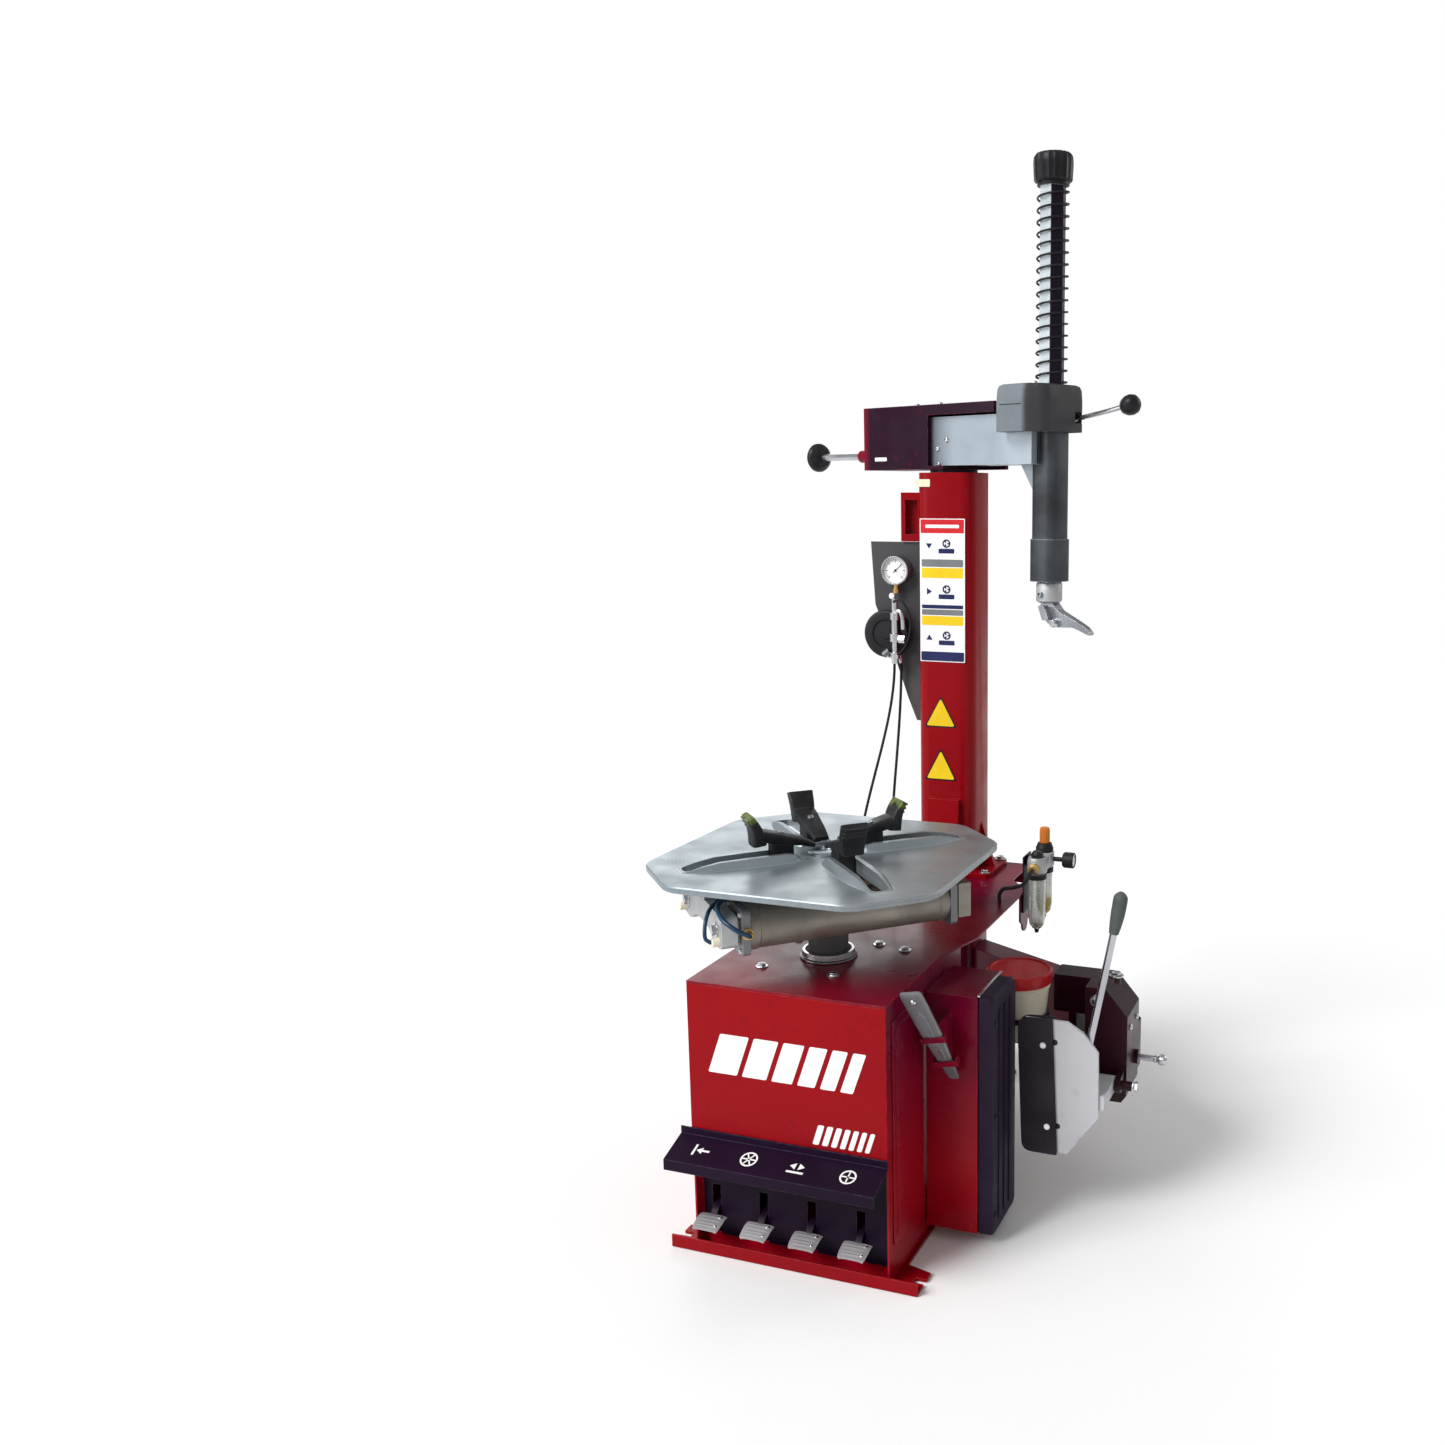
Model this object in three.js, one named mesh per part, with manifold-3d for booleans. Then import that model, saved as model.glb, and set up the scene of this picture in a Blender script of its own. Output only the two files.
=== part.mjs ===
// Swing-arm tire changer: cabinet with pedals, turntable with four jaws, column with a
// swing arm and mount head, bead breaker, air service unit. Millimetres, +Z up.
// Origin: turntable axis at floor level. The front faces -Y and +X is the operator's right.
import * as THREE from 'three';
import { mergeVertices } from 'three/addons/utils/BufferGeometryUtils.js';
import Module from 'manifold-3d';

const wasm = await Module();
wasm.setup();

// ---------- driving dimensions ----------
const GAP = 0.3; // running gap between neighbouring pieces
const SHEET = 3; // sheet metal thickness
const CABINET = { left: -183, right: 196, front: -194, back: 178, top: 511 };
const TOP_PLATE = 4;
const BASE = { left: -230, right: 251, front: -203, thick: 6, lip: 24 };
const RECESS_BACK = -172; // front face of the wall behind the pedals
const HOOD_ROOT_Z = 226;
const PEDALS = ['breaker', 'clamp', 'column', 'rotate'];
const PEDAL = { x0: -150, pitch: 95, pivotY: -60, pivotZ: 100 };
const TABLE = { side: 555, chamfer: 109, top: 711, thick: 12 };
const SLOT = { inner: 60, outer: 265, width: 34 };
const CLAMP = { offset: 95, z: 628, radius: 42, half: 200 };
const COLUMN = { x: 22, y: 630, width: 130, wall: 6, top: 1400, corner: 28 };
const SWING_ANGLE = -24.3; // direction of the swing arm, degrees from +X
const SHAFT_REACH = 273; // column axis to hexagon shaft
const SHAFT_TOP = 2015;
const HEX = 27; // corner radius of the hexagon shaft
const ROD_LINE = { y: 290, z: 295 }; // bead breaker piston rod
const ARM_PIVOT = { x: 385, y: 465 };
const ARM_EYE_X = 478;
const TRUNNION_X = -170;
const BLADE_Y = 100;
const BUCKET = { x: 300, y: 228, radius: 60, bottom: 312, top: 438 };
const FRL = { x: 264, front: 470, rear: 526, z: 575 };
const GAUGE = { x: -100, y: 588, z: 1189 };
const LEVER = { tilt: [30, -11.1, 0], middle: [242.5, -98.5, 429.5], half: 117 }; // stored tyre lever

// ---------- materials: colour, roughness, metalness ----------
const FINISH = {
  red: [0xb3121d, 0.35, 0.1],
  darkRed: [0x5e0d1c, 0.4, 0.1],
  black: [0x17171a, 0.6, 0.0],
  rubber: [0x1b1a1d, 0.85, 0.0],
  steel: [0x9aa3a8, 0.35, 0.8],
  darkSteel: [0x4a4b4f, 0.5, 0.7],
  castGrey: [0x7b7f83, 0.6, 0.5],
  plateGrey: [0xb9bcbd, 0.55, 0.3],
  silver: [0xa9b2ba, 0.3, 0.7],
  chrome: [0xd5d8da, 0.15, 1.0],
  brass: [0xb08d46, 0.35, 0.9],
  orange: [0xe0862a, 0.4, 0.0],
  clear: [0xc9c4ad, 0.2, 0.0],
  cream: [0xe6dfca, 0.5, 0.0],
  lidRed: [0xb0150f, 0.45, 0.0],
  grip: [0x55584f, 0.7, 0.0],
  motorGrey: [0x5f6b74, 0.5, 0.3],
};

// ---------- geometry helpers: every helper returns a solid ----------
function solid(geometry) {
  const bare = geometry.clone();
  bare.deleteAttribute('normal');
  bare.deleteAttribute('uv');
  const merged = mergeVertices(bare, 1e-4);
  const corners = merged.index.array;
  const kept = [];
  for (let i = 0; i < corners.length; i += 3) {
    const [a, b, c] = [corners[i], corners[i + 1], corners[i + 2]];
    if (a !== b && b !== c && c !== a) kept.push(a, b, c);
  }
  const vertProperties = new Float32Array(merged.attributes.position.array);
  return new wasm.Manifold(
    new wasm.Mesh({ numProp: 3, vertProperties, triVerts: new Uint32Array(kept) }),
  );
}

const join = (...solids) => solids.reduce((sum, piece) => sum.add(piece));
const cut = (body, ...tools) => tools.reduce((left, tool) => left.subtract(tool), body);

function block([x0, x1], [y0, y1], [z0, z1]) {
  const geometry = new THREE.BoxGeometry(x1 - x0, y1 - y0, z1 - z0);
  geometry.translate((x0 + x1) / 2, (y0 + y1) / 2, (z0 + z1) / 2);
  return solid(geometry);
}

function extrude(points, depth) {
  const shape = new THREE.Shape(points.map(([a, b]) => new THREE.Vector2(a, b)));
  return new THREE.ExtrudeGeometry(shape, { depth, bevelEnabled: false, curveSegments: 1 });
}

// Outline in the XY plane, between two heights.
function slabZ(points, z0, z1) {
  return solid(extrude(points, z1 - z0).translate(0, 0, z0));
}

// Outline in the YZ plane, between two X values.
function slabX(points, x0, x1) {
  const turn = new THREE.Matrix4().makeBasis(
    new THREE.Vector3(0, 1, 0), new THREE.Vector3(0, 0, 1), new THREE.Vector3(1, 0, 0));
  return solid(extrude(points, x1 - x0).applyMatrix4(turn).translate(x0, 0, 0));
}

// Outline in the XZ plane, between two Y values.
function slabY(points, y0, y1) {
  const turn = new THREE.Matrix4().makeBasis(
    new THREE.Vector3(1, 0, 0), new THREE.Vector3(0, 0, 1), new THREE.Vector3(0, -1, 0));
  return solid(extrude(points, y1 - y0).applyMatrix4(turn).translate(0, y1, 0));
}

// Round bar or cone between two points.
function bar(from, to, radius, sides = 16, endRadius = radius) {
  const start = new THREE.Vector3(...from);
  const along = new THREE.Vector3(...to).sub(start);
  const geometry = new THREE.CylinderGeometry(endRadius, radius, along.length(), sides);
  geometry.translate(0, along.length() / 2, 0);
  const up = new THREE.Vector3(0, 1, 0);
  geometry.applyQuaternion(
    new THREE.Quaternion().setFromUnitVectors(up, along.clone().normalize()));
  geometry.translate(...from);
  return solid(geometry);
}

function ball([x, y, z], radius, sides = 12) {
  return solid(new THREE.SphereGeometry(radius, sides, sides / 2).translate(x, y, z));
}

// Closed profile of [radius, height] turned about a vertical axis at (x, y).
function turned(profile, x = 0, y = 0, sides = 28) {
  const points = profile.map(([r, z]) => new THREE.Vector2(r, z));
  const geometry = new THREE.LatheGeometry(points, sides);
  return solid(geometry.rotateX(Math.PI / 2).translate(x, y, 0));
}

// Round tube along a smooth path.
function hose(points, radius, steps, sides = 8) {
  const path = new THREE.CatmullRomCurve3(points.map((p) => new THREE.Vector3(...p)));
  const shape = new THREE.Shape(arc(0, 0, radius, 0, 360, sides).slice(0, -1)
    .map(([a, b]) => new THREE.Vector2(a, b)));
  return solid(new THREE.ExtrudeGeometry(shape, { steps, extrudePath: path }));
}

// Air line between two fittings: it leaves both ends straight and drifts sideways between.
function hangingLine([x0, y0, z0], [x1, y1, z1]) {
  const route = Array.from({ length: 25 }, (_, i) => {
    const t = i / 24;
    const drift = t * t * (3 - 2 * t);
    return [x0 + (x1 - x0) * drift, y0 + (y1 - y0) * drift, z0 + (z1 - z0) * t];
  });
  return hose(route, 3, 36);
}

function arc(cx, cy, radius, fromDeg, toDeg, steps) {
  return Array.from({ length: steps + 1 }, (_, i) => {
    const angle = THREE.MathUtils.degToRad(fromDeg + ((toDeg - fromDeg) * i) / steps);
    return [cx + radius * Math.cos(angle), cy + radius * Math.sin(angle)];
  });
}

function roundedBox(halfX, halfY, radius, steps = 4) {
  return [
    ...arc(halfX - radius, halfY - radius, radius, 0, 90, steps),
    ...arc(radius - halfX, halfY - radius, radius, 90, 180, steps),
    ...arc(radius - halfX, radius - halfY, radius, 180, 270, steps),
    ...arc(halfX - radius, radius - halfY, radius, 270, 360, steps),
  ];
}

const shifted = (points, dx, dy) => points.map(([a, b]) => [a + dx, b + dy]);

// A solid drawn along +X, turned about the vertical axis and moved.
function placed(body, degrees, x = 0, y = 0) {
  return body.rotate([0, 0, degrees]).translate([x, y, 0]);
}

const machine = new THREE.Group();

function add(name, body, finish, parent = machine) {
  const [color, roughness, metalness] = FINISH[finish];
  const { vertProperties, triVerts } = body.getMesh();
  const geometry = new THREE.BufferGeometry();
  geometry.setAttribute('position', new THREE.BufferAttribute(vertProperties, 3));
  geometry.setIndex(new THREE.BufferAttribute(triVerts, 1));
  const mesh = new THREE.Mesh(geometry,
    new THREE.MeshStandardMaterial({ color, roughness, metalness }));
  mesh.name = name;
  parent.add(mesh);
}

// ---------- base and cabinet ----------
function addBase() {
  const ears = [[BASE.left, BASE.front], [BASE.right, BASE.front], [BASE.right, -136],
    [203, -124], [203, 182], [150, 300], [150, 705], [-110, 705], [-110, 300],
    [-190, 182], [-190, -124], [BASE.left, -136]];
  const lip = block([BASE.left, BASE.right], [BASE.front, BASE.front + 4],
    [BASE.thick - 1, BASE.lip]);
  const slots = [[BASE.right - 20, BASE.right + 10], [BASE.left - 10, BASE.left + 20]]
    .map((span) => block(span, [-172, -158], [-1, 10]));
  add('base_plate', cut(join(slabZ(ears, 0, BASE.thick), lip), ...slots), 'red');
}

function addCabinet() {
  const { left, right, front, back, top } = CABINET;
  const foot = BASE.thick + GAP;
  const sideWall = (x) => block([x, x + SHEET], [front, back], [foot, top - GAP]);
  const backWall = block([left, right], [back - SHEET, back], [foot, top - GAP]);
  const recessWall = block([left, right], [RECESS_BACK, RECESS_BACK + SHEET], [foot, 300]);
  const topRail = block([left, right], [RECESS_BACK, RECESS_BACK + 12], [top - 30, top - GAP]);
  const pedalSlots = PEDALS.map((_, i) => {
    const x = PEDAL.x0 + PEDAL.pitch * i;
    return block([x - 14, x + 14], [RECESS_BACK - 5, RECESS_BACK + 10], [28, 122]);
  });
  const lugOutline = [[TRUNNION_X - 18, back - 1], [TRUNNION_X + 18, back - 1],
    ...arc(TRUNNION_X, ROD_LINE.y, 18, 0, 180, 8)];
  const lugs = [slabZ(lugOutline, 262, 272), slabZ(lugOutline, 318, 328)];
  const lugPin = bar([TRUNNION_X, ROD_LINE.y, 262], [TRUNNION_X, ROD_LINE.y, 328], 9, 16);
  const frame = join(sideWall(left), sideWall(right - SHEET), backWall, recessWall, topRail,
    ...lugs, lugPin);
  add('cabinet_shell', cut(frame, ...pedalSlots), 'darkRed');

  const face = block([left, right], [front - GAP - SHEET, front - GAP], [HOOD_ROOT_Z, top - GAP]);
  const fold = block([left + 6, right - 6], [front - GAP - 1, RECESS_BACK - GAP],
    [HOOD_ROOT_Z, HOOD_ROOT_Z + SHEET]);
  add('front_panel', join(face, fold), 'red');

  const outline = [[left, front - SHEET], [right, front - SHEET], [right, 60], [228, 180],
    [228, 500], [222, 520], [178, 575], [178, 705], [-134, 705], [-134, 575], [-172, 520],
    [left, 180]];
  const plate = slabZ(outline, top, top + TOP_PLATE);
  const flangeRear = block([-134, 178], [701, 705], [470, top + 1]);
  const flangeLeft = slabZ([[left, 180], [left + 4, 180], [-168, 518], [-172, 520]], 488, top + 1);
  const serviceTab = slabX([[470, top + 1], [540, top + 1], [540, 455],
    ...arc(505, 445, 20, 0, -180, 6), [470, 455]], 224, 228);
  const hubHole = bar([0, 0, top - 5], [0, 0, top + 10], 44, 32);
  add('cabinet_top', cut(join(plate, flangeRear, flangeLeft, serviceTab), hubHole), 'darkRed');

  const cover = block([right + GAP, right + GAP + 2.5], [front + 20, -30], [70, 480]);
  const rib = block([right + 2, right + 6], [front + 34, -44], [84, 466]);
  add('side_cover', join(cover, rib), 'darkRed');
}

function addHoodAndPedals() {
  const y = CABINET.front - SHEET - 2 * GAP;
  const profile = [[y, HOOD_ROOT_Z - 2], [y, HOOD_ROOT_Z + 14], [y - 3, HOOD_ROOT_Z + 14],
    [y - 3, HOOD_ROOT_Z + 1], [-262, 206], [-262, 186], [-259, 186], [-259, 203]];
  add('pedal_hood', slabX(profile, -203, CABINET.right + 2), 'black');

  const rail = bar([CABINET.left + SHEET + GAP, PEDAL.pivotY, PEDAL.pivotZ],
    [CABINET.right - SHEET - GAP, PEDAL.pivotY, PEDAL.pivotZ], 8, 16);
  add('pedal_shaft', rail, 'steel');

  PEDALS.forEach((name, i) => {
    const x = PEDAL.x0 + PEDAL.pitch * i;
    const { pivotY, pivotZ } = PEDAL;
    const lever = slabX([[-48, pivotZ - 10], [-48, pivotZ + 26], [-20, pivotZ + 26],
      [-20, pivotZ + 34], [pivotY - 16, pivotZ + 30], [-178, 80], [-196, 62], [-196, 48],
      [-172, 52], [pivotY - 14, pivotZ - 16]], x - 6, x + 6);
    const boss = bar([x - 14, pivotY, pivotZ], [x + 14, pivotY, pivotZ], 17, 20);
    const pad = slabX([[-180, 70], [-180, 66], [-209, 61], [-221, 57], [-223, 60],
      [-211, 65], [-194, 70]], x - 26, x + 26);
    const hole = bar([x - 20, pivotY, pivotZ], [x + 20, pivotY, pivotZ], 8.5, 16);
    add(`pedal_${name}`, cut(join(lever, boss, pad), hole), 'castGrey');
  });
}

function addWheelPad() {
  const x0 = CABINET.right + SHEET + 4 * GAP;
  const channel = cut(block([x0, 298], [-22, 118], [25, 478]),
    block([x0 - 1, 295], [-19, 140], [28, 475]));
  const onLever = (body) => body.rotate(LEVER.tilt).translate(LEVER.middle);
  const loop = (z) => onLever(cut(block([-23, 23], [-7, 9], [z - 6, z + 6]),
    block([-19.5, 19.5], [-4.5, 4.5], [z - 8, z + 8])));
  const rack = slabX([[-21, 330], [-48.7, 360], [-93.4, 436], [-87, 446], [-21, 446]], 244, 250);
  add('pad_bracket', join(channel, rack, loop(-70), loop(-4)), 'darkRed');

  const side = [...arc(-8, 470, 12, 90, 180, 4), ...arc(-8, 32, 12, 180, 270, 4),
    ...arc(106, 32, 12, 270, 360, 4), ...arc(88, 450, 30, 0, 90, 5)];
  const ribs = [20, 50, 80].map((y) => block([326, 330], [y - 9, y + 9], [40, 450]));
  add('wheel_pad', join(slabX(side, 298 + GAP, 327), ...ribs), 'rubber');

  const lever = slabY([[-9.5, -LEVER.half], [9.5, -LEVER.half], [15, -50], [19, 0], [20.5, 84],
    [17, LEVER.half], [-17, LEVER.half], [-20.5, 84], [-19, 0], [-15, -50]], -4, 4);
  add('tyre_lever', onLever(lever), 'steel');
}

// ---------- drive inside the cabinet ----------
function addDrive() {
  const plane = { y: 65, motorZ: 84, gearZ: 400 };
  const beltX = [-150, -132];
  const motorBody = bar([-108, plane.y, plane.motorZ], [80, plane.y, plane.motorZ], 64, 32);
  const motorFeet = block([-90, 60], [15, 115], [BASE.thick + GAP, 30]);
  const motorFan = bar([80, plane.y, plane.motorZ], [104, plane.y, plane.motorZ], 58, 32);
  const terminalBox = block([-40, 30], [30, 100], [140, 168]);
  const motorShaft = bar([-165, plane.y, plane.motorZ], [-100, plane.y, plane.motorZ], 9, 16);
  add('drive_motor', join(motorBody, motorFeet, motorFan, terminalBox, motorShaft), 'motorGrey');

  const roof = CABINET.top - GAP;
  const gearCase = block([-70, 70], [-70, 90], [330, 470]);
  const flange = turned([[0, 470], [95, 470], [95, roof], [0, roof]]);
  const wormShaft = bar([-165, plane.y, plane.gearZ], [-60, plane.y, plane.gearZ], 10, 16);
  const bore = bar([0, 0, 300], [0, 0, roof + 5], 29, 28);
  add('worm_gearbox', cut(join(gearCase, flange, wormShaft), bore), 'castGrey');

  const pulley = (z, radius, boreRadius) => {
    const rim = bar([beltX[0], plane.y, z], [beltX[1], plane.y, z], radius, 28);
    const cheeks = [beltX[0] - 4, beltX[1]].map(
      (x) => bar([x, plane.y, z], [x + 4, plane.y, z], radius + 5, 28));
    return cut(join(rim, ...cheeks),
      bar([-170, plane.y, z], [-120, plane.y, z], boreRadius + GAP, 16));
  };
  add('motor_pulley', pulley(plane.motorZ, 30, 9), 'darkSteel');
  add('gearbox_pulley', pulley(plane.gearZ, 75, 10), 'darkSteel');

  // The belt follows both pulleys with straight runs between the tangent points.
  const beltOutline = (extra) => {
    const lean = THREE.MathUtils.radToDeg(Math.asin((75 - 30) / (plane.gearZ - plane.motorZ)));
    return [...arc(plane.y, plane.gearZ, 75 + extra, -lean, 180 + lean, 18),
      ...arc(plane.y, plane.motorZ, 30 + extra, 180 + lean, 360 - lean, 12)];
  };
  add('drive_belt', cut(slabX(beltOutline(7), beltX[0] + 1, beltX[1] - 1),
    slabX(beltOutline(0.4), beltX[0] - 2, beltX[1] + 2)), 'rubber');

  const rail = block([CABINET.left + SHEET + GAP, CABINET.right - SHEET - GAP],
    [-44, -40], [176, 236]);
  const valves = PEDALS.map((_, i) => {
    const x = PEDAL.x0 + PEDAL.pitch * i;
    return join(block([x - 20, x + 20], [-41, -8], [180, 232]),
      bar([x, -25, 150], [x, -25, 181], 6, 12));
  });
  add('valve_rack', join(rail, ...valves), 'darkSteel');
}

// ---------- turntable ----------
function addTurntable() {
  const half = TABLE.side / 2;
  const short = half - TABLE.chamfer;
  const outline = [[half, -short], [half, short], [short, half], [-short, half],
    [-half, short], [-half, -short], [-short, -half], [short, -half]];
  const under = TABLE.top - TABLE.thick;
  const ridge = slabY([[70, TABLE.top - 2], [272, TABLE.top - 2], [238, TABLE.top + 14],
    [84, TABLE.top + 14]], -33, 33);
  const slot = block([SLOT.inner, SLOT.outer], [-SLOT.width / 2, SLOT.width / 2],
    [under - 5, TABLE.top + 30]);
  const corners = [45, 135, 225, 315];
  const plate = join(slabZ(outline, under, TABLE.top), ...corners.map((a) => placed(ridge, a)));
  add('turntable_plate', cut(plate, ...corners.map((a) => placed(slot, a))), 'steel');

  const spindle = turned([[0, 306], [28, 306], [28, 519], [42, 519], [42, 530], [37, 533],
    [37, 660], [52, 664], [52, under - GAP], [0, under - GAP]], 0, 0, 32);
  add('turntable_spindle', spindle, 'darkSteel');

  const slide = block([62, 110], [-30, 30], [under - 13, under - GAP]);
  const neck = block([66, 106], [-16.5, 16.5], [under - 2, TABLE.top + 20]);
  const claw = slabY([[26, 727], [104, 727], [120, 738], [154, 742], [156, 792], [150, 797],
    [120, 795], [118, 776], [104, 764], [60, 748], [26, 736]], -20, 20);
  const names = ['jaw_right_rear', 'jaw_left_rear', 'jaw_left_front', 'jaw_right_front'];
  names.forEach((name, i) => {
    add(name, placed(join(slide, neck, claw), corners[i]), 'black');
  });

  const { offset, z, radius, half: reach } = CLAMP;
  const alongTable = (body) => placed(body, 45);
  const barrel = (y) => cut(join(bar([-reach, y, z], [reach, y, z], radius, 32),
    block([reach - 14, reach], [y - radius, y + radius], [z - radius, z + radius - 2]),
    block([-reach, 14 - reach], [y - radius, y + radius], [z - radius, z + radius - 2])),
    bar([10 - reach, y, z], [reach - 10, y, z], radius - 5, 24),
    bar([reach - 20, y, z], [reach + 5, y, z], 10.5, 16));
  const yoke = (from, to) => block([from, to], [-offset - 34, offset + 34], [z - 32, z + 32]);
  const strap = (from, to) => block([from, to], [-20, 20], [z + 30, under - 13 - GAP]);
  const stub = (y) => block([-reach - 6, 2 - reach], [y - 24, y + 24], [z - 24, z + 24]);
  add('clamp_cylinders', alongTable(join(barrel(-offset), barrel(offset), stub(-offset),
    stub(offset), yoke(-reach - 34, -reach - 5), strap(-reach - 34, -66))), 'darkSteel');

  const rod = (y) => join(bar([-150, y, z], [reach + 8, y, z], 10, 16),
    bar([10 - reach + 4, y, z], [-145, y, z], radius - 5 - GAP, 24));
  add('clamp_rods', alongTable(join(rod(-offset), rod(offset),
    yoke(reach + 5, reach + 30), strap(66, reach + 30))), 'steel');
}

// ---------- column and its instruments ----------
function addColumn() {
  const { x, y, width, wall, top, corner } = COLUMN;
  const floor = CABINET.top + TOP_PLATE + GAP;
  const half = width / 2;
  const outer = shifted(roundedBox(half, half, corner), x, y);
  const inner = shifted(roundedBox(half - wall, half - wall, corner - wall), x, y);
  const tube = cut(slabZ(outer, floor, top), slabZ(inner, floor - 1, top - 10));
  const flange = cut(slabZ(shifted(roundedBox(105, 72, 12), x, y), floor, floor + 10),
    slabZ(inner, floor - 1, floor + 12));
  const gusset = slabX([[y - half - 34, floor + 9], [y - half + 2, floor + 9],
    [y - half + 2, 690], [y - half - 12, 690]], x - 36, x + 36);
  const wing = slabY([[x + half - 2, floor + 5], [x + half + 34, floor + 5],
    [x + half - 2, floor + 120]], y - 5, y + 5);
  const bearing = bar([x, y, top - 44], [x, y, top - 5], 38, 28);
  const bore = bar([x, y, top - 50], [x, y, top + 5], 25.5, 28);
  const ear = cut(block([x - half - 48, x - half + 3], [y - 30, y - 2], [1252, 1358]),
    block([x - half - 38, x - half - 8], [y - 31, y - 10], [1268, 1342]));
  add('column', cut(join(tube, flange, gusset, wing, ear, bearing), bore), 'red');

  const legHalf = half - 4;
  const leg = slabZ(shifted(roundedBox(legHalf, legHalf, 20), x, y + 4),
    BASE.thick + GAP, CABINET.top - GAP);
  const legBore = slabZ(shifted(roundedBox(legHalf - 5, legHalf - 5, 15), x, y + 4),
    BASE.thick - 2, CABINET.top - 8);
  add('rear_support', cut(leg, legBore), 'darkRed');

  const panelRight = x - half - GAP;
  const plate = slabY([[-166, 1251], [-157, 1112], [-111, 995], [-79, 903], [-59, 854],
    [panelRight, 854], [panelRight, 1251]], 606, 612);
  add('gauge_panel', plate, 'darkSteel');

  const dial = join(bar([GAUGE.x, 605.5, GAUGE.z], [GAUGE.x, 580, GAUGE.z], 31, 32),
    bar([GAUGE.x, 592, GAUGE.z - 28], [GAUGE.x, 592, GAUGE.z - 50], 7, 12));
  add('pressure_gauge', dial, 'chrome');

  const fittings = { left: -113, right: -84, bottom: 985 };
  const manifold = block([fittings.left, fittings.right], [566, 605.5], [fittings.bottom, 1128]);
  const disc = bar([-122, 605.5, 1049], [-122, 579, 1049], 53, 32);
  add('inflator_unit', join(disc, manifold), 'black');

  const low = CABINET.top + TOP_PLATE + 1;
  const hoseTop = fittings.bottom - 1;
  add('inflator_hose', hangingLine([-107, 594, hoseTop], [-150, 470, low]), 'rubber');
  add('gauge_air_line', hangingLine([-91, 594, hoseTop], [-96, 532, low]), 'rubber');
}

// ---------- air service unit ----------
function addServiceUnit() {
  const { x, front, rear, z } = FRL;
  const head = (y) => bar([x, y, z - 8], [x, y, z + 28], 21, 24);
  const port = bar([x, front - 34, z + 8], [x, rear + 30, z + 8], 11, 16);
  const cap = bar([x, front, z + 27], [x, front, z + 40], 14, 16);
  const hanger = join(block([230, x], [505, 511], [z - 4, z + 20]),
    block([228 + GAP, 231.5], [480, 536], [470, z + 20]));
  const dial = join(bar([x + 10, rear, z + 10], [x + 44, rear, z + 10], 5, 12),
    bar([x + 42, rear, z + 10], [x + 66, rear, z + 10], 17, 24));
  const collar = bar([x, rear, z + 27], [x, rear, z + 44], 19, 24, 15);
  add('air_service_unit', join(head(front), head(rear), port, cap, hanger, dial, collar), 'silver');

  const bowl = (y, bottom, radius) => turned([[0, bottom], [radius - 9, bottom],
    [radius - 2, bottom + 12], [radius, bottom + 24], [radius, z - 8 - GAP], [0, z - 8 - GAP]],
  x, y, 24);
  add('filter_bowl', bowl(front, 440, 18), 'clear');
  add('lubricator_bowl', bowl(rear, 456, 17), 'clear');
  add('regulator_knob', bar([x, rear, z + 44 + GAP], [x, rear, z + 78], 11, 16), 'orange');

  add('service_hose', hose([[x, front - 35, z + 8], [x, front - 56, z + 4],
    [x - 8, front - 72, z - 12], [x - 30, front - 72, z - 22], [x - 54, front - 62, z - 30],
    [x - 64, front - 60, 532], [x - 64, front - 60, CABINET.top + TOP_PLATE + 1]], 4, 24), 'rubber');
}

function addBucket() {
  const { x, y, radius, bottom, top } = BUCKET;
  const outer = (z) => radius - 12 + (12 * (z - bottom)) / (top - bottom);
  const pail = turned([[0, bottom], [outer(bottom), bottom], [outer(top), top],
    [outer(top) - 2, top], [outer(bottom) - 2, bottom + 3], [0, bottom + 3]], x, y, 32);
  add('soap_bucket', pail, 'cream');

  const rim = radius + 4;
  const lid = turned([[0, top + GAP], [radius + GAP, top + GAP], [radius + GAP, top - 15],
    [rim, top - 15], [rim, top + 6], [rim - 6, top + 9], [0, top + 9]], x, y, 32);
  add('bucket_lid', lid, 'lidRed');

  const ringZ = [352, 362];
  const inner = outer(ringZ[1]) + 0.8;
  const ring = cut(bar([x, y, ringZ[0]], [x, y, ringZ[1]], inner + 5, 32),
    bar([x, y, ringZ[0] - 1], [x, y, ringZ[1] + 1], inner, 32));
  const shelf = cut(bar([x, y, bottom - 4], [x, y, bottom - GAP], 40, 28),
    bar([x, y, bottom - 6], [x, y, bottom + 1], 24, 24));
  const wallX = CABINET.right + GAP;
  const strut = (z) => block([wallX, x - 38], [150, 168], z);
  const turnIn = (z) => block([x - 50, x - 26], [150, 218], z);
  const back = block([wallX, wallX + 5], [150, 168], [bottom - 4, ringZ[1]]);
  const arms = [[bottom - 4, bottom - GAP], [ringZ[0], ringZ[1]]];
  const holder = join(ring, shelf, back, strut(arms[0]), strut(arms[1]),
    turnIn(arms[0]), cut(turnIn(arms[1]), bar([x, y, 340], [x, y, 370], inner, 32)));
  add('bucket_holder', holder, 'black');
}

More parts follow.
